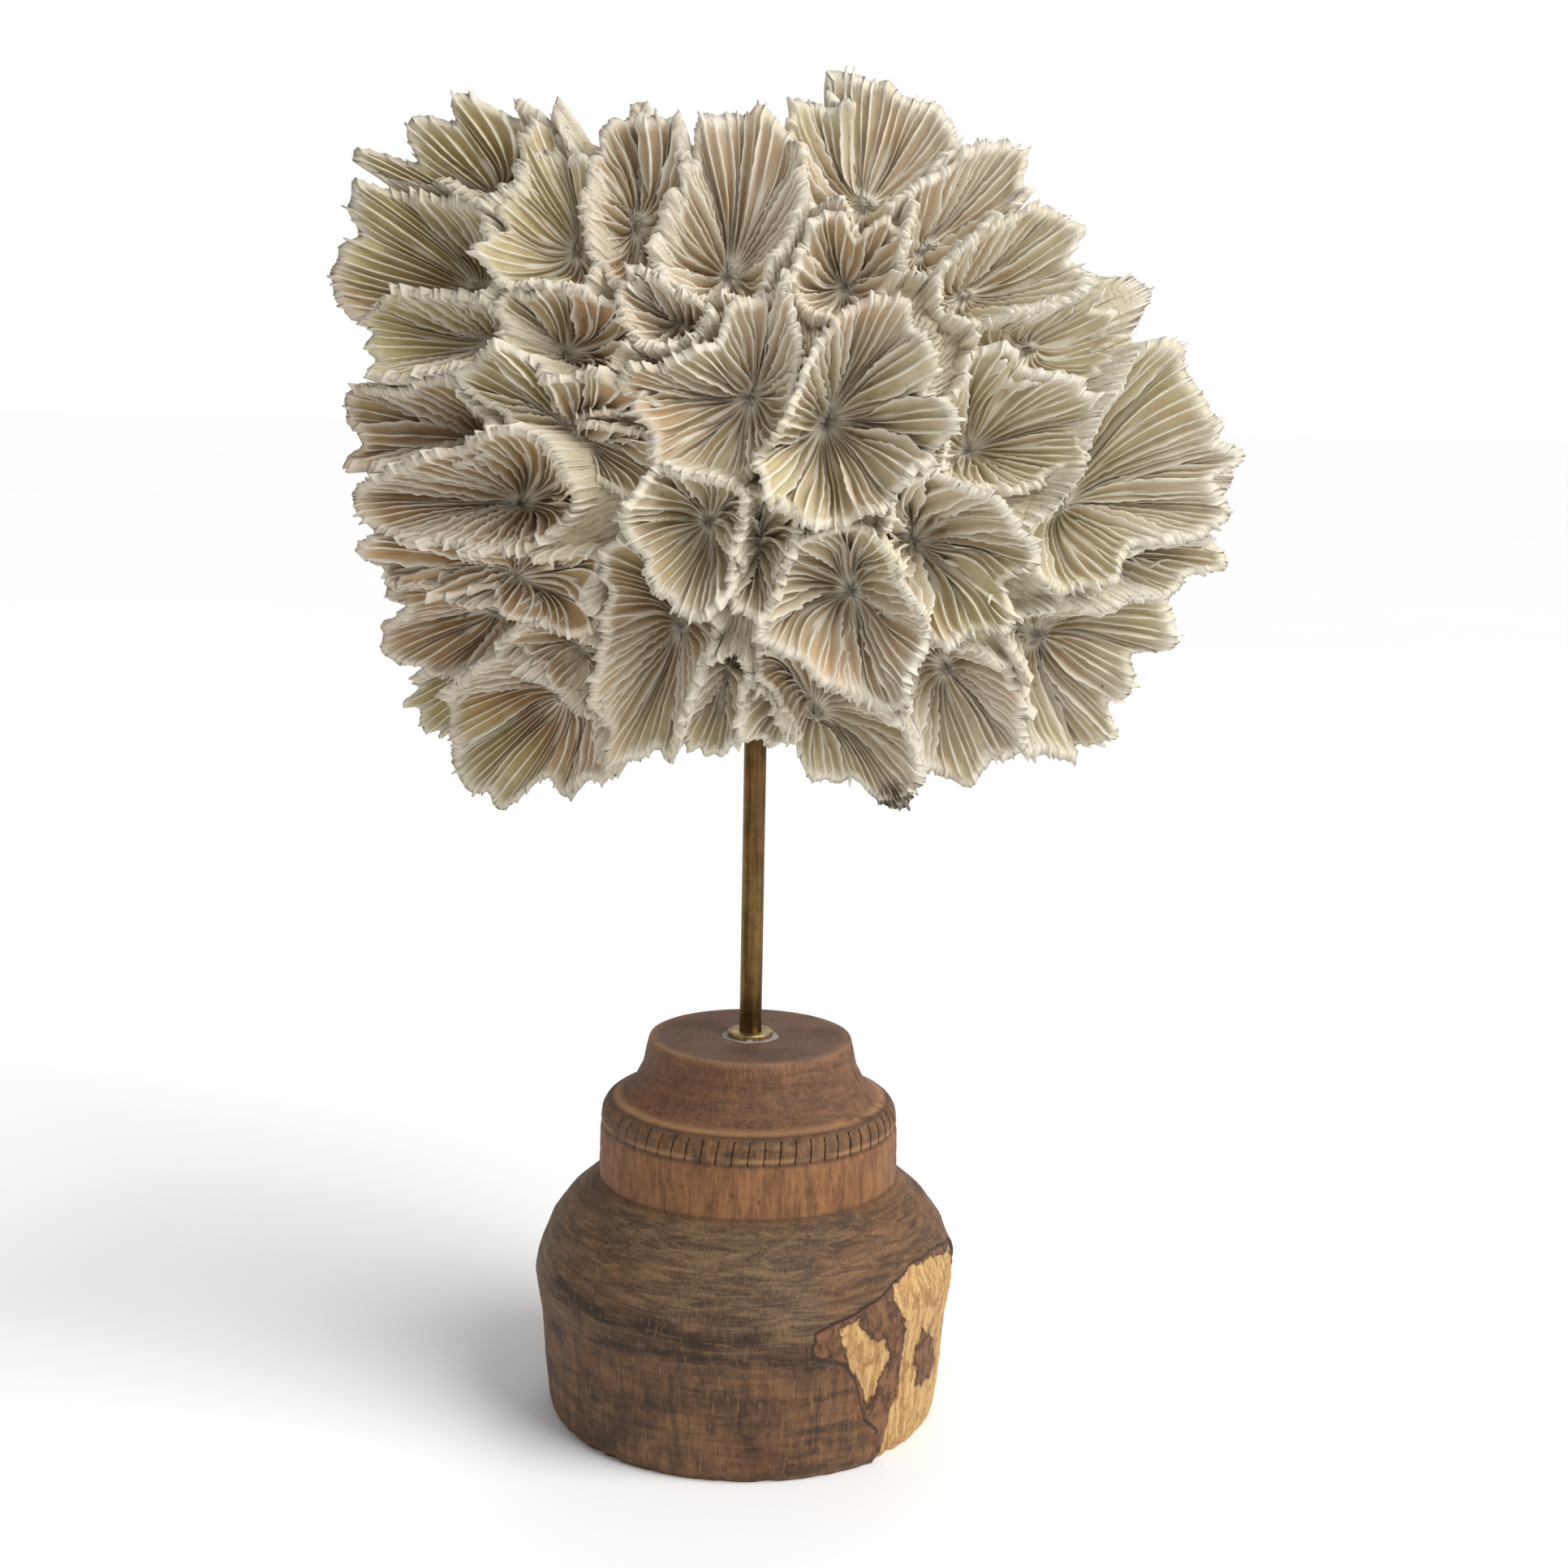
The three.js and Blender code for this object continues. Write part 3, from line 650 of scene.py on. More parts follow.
def coarse_cups():
    """All bowls and outer walls as one coarse mesh, and for each face whether it is bowl."""
    points, faces, is_bowl = [], [], []
    for bare, rows, eye in bowls:
        ends = [rows - 1, len(bare) - 1]
        picked = np.unique(np.concatenate([np.arange(0, len(bare), row_skip), ends]))
        grid = bare[picked][:, ::column_skip]
        columns = grid.shape[1]
        first = len(points)
        points.append(Vector(eye))
        points.extend(Vector(p) for p in grid.reshape(-1, 3))
        for c in range(columns):
            beside = (c + 1) % columns
            faces.append((first, first + 1 + c, first + 1 + beside))
            is_bowl.append(True)
            for k in range(len(picked) - 1):
                low = first + 1 + k * columns
                faces.append((low + c, low + columns + c, low + columns + beside, low + beside))
                is_bowl.append(bool(picked[k + 1] < rows))
    return BVHTree.FromPolygons(points, faces), is_bowl


def seen_heights(directions):
    """For each direction, the height of the deepest bowl, or else of a wall that faces outwards."""
    tree, is_bowl = coarse_cups()
    heights = np.full(len(directions), np.nan)
    for i, direction in enumerate(directions):
        towards = Vector(direction)
        height = seen_from
        while height > core_height:
            start = Vector(colony_middle) + height * towards
            hit, normal, face, distance = tree.ray_cast(start, -towards, height - core_height)
            if hit is None:
                break
            height -= distance
            faces_out = abs(normal.dot(towards)) > least_facing
            if is_bowl[face] or (np.isnan(heights[i]) and faces_out):
                heights[i] = height
            height -= ray_step
    return heights


# %% The ball
bpy.ops.object.select_all(action="DESELECT")
bpy.ops.mesh.primitive_ico_sphere_add(subdivisions=7, radius=1, location=(0, 0, 0))
filling = bpy.context.object
filling.name = "filling_between_cups"
directions = np.array([v.co for v in filling.data.vertices])
directions /= np.linalg.norm(directions, axis=1, keepdims=True)
edges = np.array([e.vertices for e in filling.data.edges])
ends_a, ends_b = np.concatenate([edges, edges[:, ::-1]]).T
touching = np.bincount(ends_a, minlength=len(directions))


def mean_of_neighbours(values):
    return np.bincount(ends_a, weights=values[ends_b], minlength=len(values)) / touching


def least_of_neighbours(values):
    least = values.copy()
    np.minimum.at(least, ends_a, values[ends_b])
    return least


# %% The gaps and their relief
span_rounds, border_rounds = 400, 3
coarse_ribs = 50
below_bowl, below_gap, gap_sink = 1.5, 0.8, 2.6
rib_relief, lump_relief, swell_relief = 2.2, 0.7, 1.5

heights = seen_heights(directions)
open_gap = np.isnan(heights)
spanned = np.where(open_gap, np.nanmean(heights), heights)
for _ in range(span_rounds):
    spanned = np.where(open_gap, mean_of_neighbours(spanned), spanned)
in_gap = open_gap.astype(float)
for _ in range(border_rounds):
    in_gap = np.where(open_gap, mean_of_neighbours(in_gap), 0)
below = least_of_neighbours(spanned)
rough_dice = np.random.default_rng(7)


def ball_noise(rounds):
    """Random values on the ball, smoother and wider with each round, with a spread of 1."""
    values = rough_dice.normal(0, 1, len(directions))
    for _ in range(rounds):
        values = mean_of_neighbours(values)
    return values / values.std()


swells = ball_noise(40)
turn = np.arctan2(directions[:, 0], directions[:, 2])
ribs = 1 - abs(np.sin(turn * coarse_ribs + 2 * swells))
sunk = rib_relief * ribs - gap_sink - swell_relief * abs(swells)
skin = below - below_gap + lump_relief * ball_noise(2) + in_gap * sunk
hidden = least_of_neighbours(below) - below_bowl
points = colony_middle + directions * np.where(open_gap, skin, hidden)[:, None]
filling.data.vertices.foreach_set("co", (points * mm).ravel())
for key, value in (("depth", 0.25), ("groove", 0.55), ("outside", 0.8), ("flank", in_gap)):
    held = filling.data.attributes.new(key, "FLOAT", "POINT")
    held.data.foreach_set("value", (value * np.ones(len(directions))).astype(np.float32))
filling.data.update()
bpy.ops.object.shade_smooth()
settle(filling, coral_chalk, "coral", "coral_trunk")
print("filling: spans", round(float(open_gap.mean()) * 100), "% of the ball")

# %% [markdown]
# ## The wooden base
#
# The base was turned on a lathe, so its mesh is turned as well: half of its outline is drawn as a
# chain of points, and Spin sweeps the chain round the axis. A cylinder with bevels would also do, but
# it would take a cut for every step of the outline.
#
# The outline comes from the construction model: its widest radius at each height. Points are added
# on the long stretches, so that the surface can take fine marks later, and the corners are eased a
# little, as sandpaper and a century of hands would do.

# %% The outline of the base
base_corners, _ = merged_mesh("wooden_base")
hole_radius = 10
widest = {}
for x, y, z in base_corners:
    widest[round(z, 2)] = max(widest.get(round(z, 2), 0), math.hypot(x, y))
corners = [(r, z) for z, r in sorted(widest.items()) if r > hole_radius]
base_foot, base_top = corners[0], corners[-1]
outline_step = 1.2
outline = []
for (r0, z0), (r1, z1) in zip(corners, corners[1:]):
    pieces = max(1, round(math.hypot(r1 - r0, z1 - z0) / outline_step))
    for k in range(pieces):
        outline.append((r0 + (r1 - r0) * k / pieces, z0 + (z1 - z0) * k / pieces))
outline.append(base_top)
easing = 0.22
eased = np.array(outline)
eased[1:-1] = (1 - 2 * easing) * eased[1:-1] + easing * (eased[:-2] + eased[2:])
top_shares = (0.985, 0.9, 0.78, 0.66, 0.54, 0.42, 0.3, 0.18, 0)
top_rows = [(base_top[0] * share, base_top[1]) for share in top_shares]
chain = [(base_foot[0] / 2, 0), *map(tuple, eased), *top_rows]
print("base outline:", len(chain), "points, height", base_top[1], "mm")

# %% [markdown]
# A chain of points starts as a plane whose corners are merged into one point on the axis. Each Extrude
# adds one point and the edge to it. Spin then makes ten columns of faces for each of the sixty blocks
# of the carved ring. Merge by Distance closes the two ends on the axis.

# %% Turning the base
ring_blocks = 60
columns_per_block = 10
base_columns = ring_blocks * columns_per_block


def fresh_piece(name):
    """Names the new active object, goes into edit mode and selects all of it."""
    bpy.context.object.name = name
    bpy.ops.object.mode_set(mode="EDIT")
    bpy.ops.mesh.select_all(action="SELECT")
    return bpy.context.object


def outward_faces():
    bpy.ops.mesh.select_all(action="SELECT")
    bpy.ops.mesh.remove_doubles(threshold=0.00002)
    bpy.ops.mesh.normals_make_consistent(inside=False)
    bpy.ops.object.mode_set(mode="OBJECT")


bpy.ops.object.select_all(action="DESELECT")
bpy.ops.mesh.primitive_plane_add(size=0.001, location=(0, 0, 0))
base = fresh_piece("turned_base")
bpy.ops.mesh.merge(type="CENTER")
at = (0, 0)
for r, z in chain:
    step = ((r - at[0]) * mm, 0, (z - at[1]) * mm)
    bpy.ops.mesh.extrude_region_move(TRANSFORM_OT_translate={"value": step})
    at = (r, z)
bpy.ops.mesh.select_all(action="SELECT")
bpy.ops.mesh.spin(steps=base_columns, angle=2 * math.pi, center=(0, 0, 0), axis=(0, 0, 1))
outward_faces()
print("turned base:", len(base.data.polygons), "faces")

# %% [markdown]
# The ring under the cove was carved with a gouge into sixty small blocks. Every tenth column of faces
# on the ring is selected by its angle, and Extrude with Shrink/Fatten sinks it.

# %% Carving the ring of blocks
ring_low, ring_high, inside_ring = 95.0, 101.6, 40
groove_depth = 0.55
centres = np.zeros(len(base.data.polygons) * 3)
base.data.polygons.foreach_get("center", centres)
centres = centres.reshape(-1, 3) / mm
column = np.floor(np.degrees(np.arctan2(centres[:, 1], centres[:, 0])) * base_columns / 360)
on_outside = np.hypot(*centres.T[:2]) > inside_ring
on_ring = (centres[:, 2] > ring_low) & (centres[:, 2] < ring_high) & on_outside
sunk_columns = on_ring & (column % columns_per_block == 0)
bpy.ops.object.mode_set(mode="EDIT")
bpy.ops.mesh.select_mode(type="FACE")
bpy.ops.mesh.select_all(action="DESELECT")
bpy.ops.object.mode_set(mode="OBJECT")
base.data.polygons.foreach_set("select", sunk_columns)
bpy.ops.object.mode_set(mode="EDIT")
bpy.ops.mesh.extrude_region_shrink_fatten(
    TRANSFORM_OT_shrink_fatten={"value": -groove_depth * mm})
bpy.ops.mesh.select_mode(type="VERT")
outward_faces()
print("carved ring:", int(sunk_columns.sum()), "faces sunk")

# %% [markdown]
# The damage follows no operator: insects and rot have opened the lower right, a drying crack runs
# down from the top, and dirt lies in old turning lines. Each is drawn as an outline on the surface,
# in degrees round the axis and millimetres of height.
#
# The distance of every point of the mesh to such an outline does two jobs. It pushes the point in
# or out, and it is kept as an attribute, so that the finish has the same borders as the relief.

# %% The marks on the wood
pale_strip = [(-2, 54), (-23, 59), (-37, 60), (-44, 57), (-46, 53), (-43, 48), (-41, 43),
              (-41, 38), (-41, 31), (-41, 23), (-44, 17), (-45, 11), (-46, 5), (-46, -4),
              (14, -4), (13, 20), (4, 44)]
brown_island = [(-32, 39), (-23, 32), (-19, 22), (-23, 19), (-31, 20), (-33, 28), (-33, 35)]
pale_wedge = [(-65, 49), (-61, 50), (-58, 51), (-56, 46), (-53, 43), (-50, 42), (-47, 38), (-47, 32),
              (-50, 27), (-52, 21), (-53, 20), (-55, 26), (-59, 34), (-61, 37), (-62, 42)]
eaten = [(-37, 61), (-49, 56), (-56, 54), (-65, 51), (-71, 49), (-72, 41), (-62, 37), (-58, 30),
         (-55, 18), (-49, 11), (-48, -4), (18, -4), (17, 20), (8, 46), (-2, 57), (-20, 61)]
crack = [(-8, 122), (-15, 115), (-12, 109), (-17, 103), (-10, 95), (-8, 80), (-11, 74),
         (-17, 66), (-19, 58), (-20, 50)]
stains = [[(-161, 33), (-125, 41), (-101, 41), (-86, 42), (-69, 38)],
          [(-150, 52), (-128, 49), (-105, 48), (-86, 47)],
          [(-90, 22), (-87, 12)],
          [(-138, 24), (-134, 20)]]
carved_curves = [[(-99, 1), (-90, 4), (-79, 6), (-74, 8), (-63, 7)],
                 [(-79, 6), (-76, 3), (-84, 2)]]
body_radius = 65
far_away = 99


def flat_map(points):
    """Degrees and millimetres as millimetres along the surface and millimetres of height."""
    points = np.array(points, float)
    return points * [math.radians(1) * body_radius, 1]


def distance_to(line, places, closed=False):
    """The distance of each place to a line, in millimetres. Inside a closed line it is negative."""
    line = flat_map(line)
    starts = line if closed else line[:-1]
    stops = np.roll(line, -1, axis=0) if closed else line[1:]
    least = np.full(len(places), np.inf)
    inside = np.zeros(len(places), bool)
    for a, b in zip(starts, stops):
        along = np.clip((places - a) @ (b - a) / ((b - a) @ (b - a)), 0, 1)
        least = np.minimum(least, np.linalg.norm(places - a - along[:, None] * (b - a), axis=1))
        if a[1] != b[1]:
            crossed = (a[1] > places[:, 1]) != (b[1] > places[:, 1])
            border = a[0] + (places[:, 1] - a[1]) / (b[1] - a[1]) * (b[0] - a[0])
            inside ^= crossed & (places[:, 0] < border)
    return np.where(inside & closed, -least, least)


# %% Where the marks are
crack_end = 20
wood_dice = np.random.default_rng(21)
count = len(base.data.vertices)
spots = np.zeros(count * 3)
base.data.vertices.foreach_get("co", spots)
spots = spots.reshape(-1, 3) / mm
radius = np.hypot(spots[:, 0], spots[:, 1])
angle = np.arctan2(spots[:, 1], spots[:, 0])
height = spots[:, 2]
around = angle / (2 * math.pi)
low_wave = waves(wood_dice, around, np.arange(9, 40))
fine_wave = waves(wood_dice, around + height / 400, np.arange(60, 160))
places = np.stack([angle * body_radius, height], axis=1)
places = places + 0.35 * np.stack([waves(wood_dice, height / 60, np.arange(8, 30)), low_wave], axis=1)
on_side = height < base_top[1] - 0.5
to_strip = distance_to(pale_strip, places, closed=True)
to_island = distance_to(brown_island, places, closed=True)
to_wedge = distance_to(pale_wedge, places, closed=True)
to_eaten = distance_to(eaten, places, closed=True)
to_pale = np.where(on_side, np.minimum(np.maximum(to_strip, -to_island), to_wedge), far_away)
to_eaten = np.where(on_side, to_eaten, far_away)
to_crack = np.where(radius > crack_end, distance_to(crack, places), far_away)
to_stain = np.min([distance_to(line, places) for line in stains], axis=0)
to_stain = np.where(on_side, to_stain, far_away)
to_curve = np.min([distance_to(line, places) for line in carved_curves], axis=0)

# %% [markdown]
# Every mark moves the surface by its own depth in millimetres. The blocks of the ring swell in their
# middles and lean a little, as the gouge was held at a slant.

# %% Working the marks into the surface
turning_depth, wave_depth, rot_grain = 0.05, 0.04, 0.1
eaten_depth, pale_depth, lip_height = 0.8, 0.7, 0.35
crack_depth, curve_depth, seam_depth = 1.1, 0.45, 0.35
foot_wear, foot_gnawing, foot_height = 0.5, 0.9, 5
block_swell, block_slant = 0.3, math.radians(0.15)
seam_heights = (94.6, 77.4, 44.4)
# Dark lines in the grooves and in the corners under the carved ring: painted shade.
shaded_seams = (94.5, 77.3, 102.3, 44.3)
# Pale lines on the moulding edges at these heights: painted highlight, partly rubbed wear.
highlight_worn_edges = (121.6, 103.2, 95.9)
mark_width = 0.9

turning = wood_dice.normal(0, turning_depth, 2000)[np.round(height * 6).astype(int)]
push = turning * (radius > 30) + wave_depth * fine_wave
push -= eaten_depth * soft(-to_eaten, -0.3, 0.5) + pale_depth * soft(-to_pale, -0.2, 0.5)
push += lip_height * soft(1.2 - abs(to_eaten - 0.9), 0, 1) * soft(70 - height, 0, 10)
push += wood_dice.normal(0, rot_grain, count) * soft(-to_eaten, 0, 0.6)
push -= crack_depth * soft(0.75 - to_crack, 0, 0.6) + curve_depth * soft(1.0 - to_curve, 0, 1)
foot_loss = foot_wear + foot_gnawing * low_wave ** 2
push -= foot_loss * soft(foot_height - height, 0, foot_height) * (radius > 55)
for seam in seam_heights:
    push -= seam_depth * soft(1.0 - abs(height - seam), 0, 1)
block_middle = ((angle / (2 * math.pi) * ring_blocks) % 1 - 0.5) * 2
ring_share = soft(height, ring_low - 0.6, ring_low) * soft(-height, -ring_high - 0.6, -ring_high)
ring_share = ring_share * (radius > inside_ring)
push += block_swell * (1 - block_middle ** 4) * ring_share
push = np.where((radius > 25) & on_side, push, 0)
slant = ring_share * block_slant * (height - ring_low)
spots[:, 0] = (radius + push) * np.cos(angle + slant)
spots[:, 1] = (radius + push) * np.sin(angle + slant)
base.data.vertices.foreach_set("co", (spots * mm).ravel())


def near_heights(levels):
    """1 on the base's outside at each of some heights, and 0 a little above and below it."""
    lines = [soft(mark_width - abs(height - level), 0, mark_width) for level in levels]
    return sum(lines) * (radius > 30)


# The worn attribute carries pale edge lines that are painted highlight with some rubbed wear.
for key, values in (("pale", to_pale), ("eaten", to_eaten), ("crack", to_crack),
                    ("stain", to_stain), ("worn", near_heights(highlight_worn_edges)),
                    ("seam", near_heights(shaded_seams))):
    held = base.data.attributes.new(key, "FLOAT", "POINT")
    held.data.foreach_set("value", values.astype(np.float32))
base.data.update()
bpy.ops.object.select_all(action="DESELECT")
base.select_set(True)
bpy.context.view_layer.objects.active = base
bpy.ops.object.shade_smooth_by_angle(angle=math.radians(42))
print("marks: deepest push", round(float(-push.min()), 2), "mm")

# %% [markdown]
# ## The finish of the wood
#
# The wood has been bare for a long time. Five things change over it:
#
# - fibres run up and down, as fine dark and light streaks;
# - the turned dome shows the growth layers as slanting streaks;
# - the band under the carved ring is warmer, and the cove above it redder;
# - dirt sits in old turning lines and blotches;
# - where the surface is eaten away, pale straw-coloured wood shows, with dark brown edges.
#
# The streaks are noise that is stretched: the Mapping node squeezes it along one axis.

# %% The wood finish
def turned_wood(wire, tall, coarse, layers, sheets, drift):
    """The clean wood: another brown on each moulding, and darker sheets low on the body."""
    dome = tall.above(0.036, 0.05) * (1 - tall.above(0.074, 0.08))
    band = tall.above(0.0755, 0.078) * (1 - tall.above(0.094, 0.0955))
    cove = tall.above(0.101, 0.104)
    top = tall.above(0.1212, 0.1218)
    low = 1 - tall.above(0.03, 0.046)
    streak = coarse * (0.6 - dome * 0.5) + layers * (0.4 + dome * 0.5)
    parts = (
        (band * 0.7, coarse.above(0.3, 0.7), colour(118, 76, 44), colour(158, 109, 68)),
        (cove * 0.65, (drift * 0.5 + layers * 0.5).above(0.38, 0.62),
         colour(84, 56, 41), colour(124, 83, 57)),
        (dome * drift.above(0.4, 0.6) * 0.6, layers.above(0.35, 0.65),
         colour(70, 57, 42), colour(118, 98, 74)),
        (top * 0.7, sheets.above(0.35, 0.65), colour(78, 57, 47), colour(116, 86, 68)))
    wood = mix_colours(wire, streak.above(0.3, 0.7), colour(68, 47, 31), colour(132, 95, 62))
    for share, grain, dark, light in parts:
        wood = mix_colours(wire, share, wood, mix_colours(wire, grain, dark, light))
    rusty = low * drift.above(0.5, 0.62) * (1 - sheets.above(0.5, 0.7)) * 0.5
    wood = mix_colours(wire, low * sheets.above(0.45, 0.62) * 0.7, wood, colour(54, 39, 28))
    wood = mix_colours(wire, rusty, wood, colour(120, 76, 50))
    return streak, mix_colours(wire, dome * sheets.above(0.52, 0.68) * 0.6, wood, colour(60, 47, 34))


def rotten_wood(wire, place, patches, wander, pale, eaten_away, sound):
    """The eaten patch: brown rot, pale bare wood in it, and dark edges round both."""
    edge = (wander - 0.5) * 5.5
    from_rot = eaten_away + edge * 0.3
    from_pale = pale + edge
    bark = mix_colours(wire, wander.above(0.38, 0.62), colour(76, 50, 34), colour(126, 88, 58))
    barked = mix_colours(wire, 1 - from_rot.above(-0.2, 0.2), sound, bark)
    straws = noise(wire, stretched(wire, place, (1, 1, 0.1)), 640, 4, 0.7).above(0.36, 0.62)
    straw = mix_colours(wire, straws, colour(160, 120, 72), colour(205, 168, 112))
    flecks = (patches * 0.5 + wander * 0.5).above(0.5, 0.6) * 0.75
    tan = mix_colours(wire, flecks, straw, colour(140, 98, 56))
    bare = mix_colours(wire, 1 - from_pale.above(-0.15, 0.15), barked, tan)
    rim = 1 - from_pale.size().above(0.1, 0.85)
    lip = 1 - from_rot.size().above(0.2, 1.1)
    outlined = mix_colours(wire, rim * 0.75, bare, colour(44, 27, 19))
    return mix_colours(wire, lip * 0.85, outlined, colour(34, 22, 16))


def wood_finish():
    material, wire = new_finish("old_wood")
    place = wire.node("TexCoord", output=3)
    _, tall = x_and_z(wire, place)
    # The seam attribute marks the lines of painted shade in the grooves.
    pale, eaten_away, split, dirt, highlight_worn_edge, seam = attributes_of(
        wire, "pale eaten crack stain worn seam")
    fibre = noise(wire, stretched(wire, place, (1, 1, 0.1)), 1300, 4, 0.7)
    coarse = noise(wire, stretched(wire, place, (1, 1, 0.22)), 330, 4, 0.65)
    tilted = wire.node("Mapping", {}, {"Vector": place, "Rotation": (0.12, 0.16, 0),
                                       "Scale": (0.13, 0.13, 1.0)})
    layers = noise(wire, tilted, 560, 5, 0.68, 0.8)
    sheets = noise(wire, stretched(wire, place, (0.3, 0.3, 1.3)), 120, 5, 0.7, 0.5)
    drift = noise(wire, place, 26, 3, 0.55)
    patches = noise(wire, stretched(wire, place, (1, 1, 1.8)), 60, 5, 0.65)
    wander = noise(wire, stretched(wire, place, (1, 1, 0.5)), 330, 4, 0.65)
    streak, clean = turned_wood(wire, tall, coarse, layers, sheets, drift)

    ragged_dirt = dirt + (sheets - 0.5) * 16 + (layers - 0.5) * 8
    smudge = (1 - ragged_dirt.above(-0.5, 3.0)) * patches.above(0.3, 0.48)
    halo = (1 - ragged_dirt.above(1.0, 9.0)) * patches.above(0.4, 0.6) * 0.6
    cracked = 1 - (split + (wander - 0.5) * 0.6).above(0.16, 0.5)
    pits = specks(wire, place, 190, 0.08, 0.16) * drift.above(0.53, 0.58)
    wood = clean
    for share, over in (
            (halo, colour(62, 45, 32)),
            (smudge * 0.75, colour(36, 26, 20)),
            (fibre.above(0.52, 0.7) * 0.5, colour(40, 28, 19)),
            ((1 - fibre.above(0.3, 0.46)) * 0.3, colour(176, 134, 92)),
            # Pale edge lines: painted highlight with some rubbed wear.
            (highlight_worn_edge * patches.above(0.36, 0.5) * 0.6, colour(178, 134, 92)),
            # Painted shade in the grooves and under the ring.
            (seam * 0.55, colour(38, 27, 20))):
        wood = mix_colours(wire, share, wood, over)
    wood = rotten_wood(wire, place, patches, wander, pale, eaten_away, wood)
    wood = mix_colours(wire, cracked, wood, colour(18, 12, 9))
    wood = mix_colours(wire, pits * 0.5, wood, colour(34, 23, 17))
    relief = fibre * 0.7 + streak * 0.5 + wander * (1 - pale.above(-0.5, 0.5))
    set_shader(material, Base_Color=wood, Roughness=0.5 + patches * 0.28,
               Normal=bump(wire, relief, 0.0006, 0.8))
    set_shader(material, Specular_IOR_Level=0.35)
    return material


settle(base, wood_finish(), "wood", "wooden_base")
print("wood finish:", len(base.active_material.node_tree.nodes), "nodes")

# %% [markdown]
# ## The brass rod and its washer
#
# The rod is drawn stock with tarnish: brown where hands never polish it, brighter in streaks. Metal
# shows mostly what it reflects, so the brown is in the base colour, and blotches in the roughness
# break the reflection up. The rod is a cylinder whose two ends get a small bevel.

# %% The brass finish
def brass_finish(name, dull, bright, tarnish):
    material, wire = new_finish(name)
    place = wire.node("TexCoord", output=3)
    streaks = noise(wire, stretched(wire, place, (1, 1, 0.05)), 420, 3, 0.6)
    clouds = noise(wire, place, 130, 4, 0.65)
    metal = mix_colours(wire, (streaks * 0.6 + clouds * 0.4).above(0.38, 0.62), dull, bright)
    spotted = noise(wire, place, 520, 3, 0.7).above(0.56, 0.7) * 0.5
    spots = mix_colours(wire, spotted, metal, tarnish)
    set_shader(material, Base_Color=spots, Roughness=0.26 + clouds * 0.28, Metallic=1.0,
               Normal=bump(wire, clouds + streaks, 0.00006, 0.5))
    return material


rod_brass = brass_finish("tarnished_brass", colour(74, 55, 32), colour(132, 104, 62), colour(48, 35, 22))
washer_brass = brass_finish("rubbed_brass", colour(140, 118, 78), colour(196, 172, 124),
                            colour(96, 76, 48))

# %% The rod
rod_low, rod_high = (Vector(c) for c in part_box("brass_rod"))
rod_radius = (rod_high.x - rod_low.x) / 2


def fresh_cylinder(name, low, high, radius, sides):
    """A cylinder that fills a box of the construction model, in edit mode."""
    bpy.ops.object.select_all(action="DESELECT")
    bpy.ops.mesh.primitive_cylinder_add(vertices=sides, radius=radius, depth=high.z - low.z,
                                        location=(low + high) / 2)
    return fresh_piece(name)


rod = fresh_cylinder("rod", rod_low, rod_high, rod_radius, 72)


def is_level(a, b):
    return abs(a.z - b.z) < 0.01


def select_edges(piece, wanted):
    """Selects the edges whose two end points, in millimetres, pass a test."""
    bpy.ops.mesh.select_mode(type="EDGE")
    bpy.ops.mesh.select_all(action="DESELECT")
    bpy.ops.object.mode_set(mode="OBJECT")
    place = piece.matrix_world
    for edge in piece.data.edges:
        a, b = (place @ piece.data.vertices[v].co / mm for v in edge.vertices)
        edge.select = bool(wanted(a, b))
    bpy.ops.object.mode_set(mode="EDIT")


def finish_metal(piece, material, slot, node):
    """Puts the place of a piece into its mesh, smooths it and settles it."""
    outward_faces()
    bpy.ops.object.transform_apply(location=True, rotation=True, scale=True)
    bpy.ops.object.shade_smooth_by_angle(angle=math.radians(35))
    settle(piece, material, slot, node)
    print(piece.name + ":", len(piece.data.polygons), "faces")


select_edges(rod, is_level)
bpy.ops.mesh.bevel(offset=0.35 * mm, segments=3)
finish_metal(rod, rod_brass, "brass", "brass_rod")

# %% [markdown]
# The washer is a flat ring. It starts as a short cylinder. Both ends are inset to the size of the hole,
# and Bridge joins the two inner faces through the metal. Its outer edges get a soft bevel.

# %% The washer
washer_low, washer_high = (Vector(c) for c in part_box("brass_washer"))
washer_radius = (washer_high.x - washer_low.x) / 2
washer = fresh_cylinder("washer", washer_low, washer_high, washer_radius, 96)
bpy.ops.mesh.select_mode(type="FACE")
bpy.ops.mesh.select_all(action="DESELECT")
bpy.ops.object.mode_set(mode="OBJECT")
for face in washer.data.polygons:
    face.select = abs(face.normal.z) > 0.9
bpy.ops.object.mode_set(mode="EDIT")
bpy.ops.mesh.inset(thickness=washer_radius - rod_radius - 0.15 * mm)
bpy.ops.mesh.bridge_edge_loops()


def on_washer_edge(a, b):
    inwards = (washer_radius / mm - math.hypot(end.x, end.y) for end in (a, b))
    return is_level(a, b) and all(abs(gap) < 0.05 for gap in inwards)


select_edges(washer, on_washer_edge)
bpy.ops.mesh.bevel(offset=0.5 * mm, segments=4)
finish_metal(washer, washer_brass, "brass", "brass_washer")

# %% [markdown]
# ## The glue round the washer
#
# A thin skin of clear glue has crept out from under the washer, and a few beads of it stand at the
# front. It is a flat disc with a wavy edge, made from a circle that is extruded upwards and bevelled.

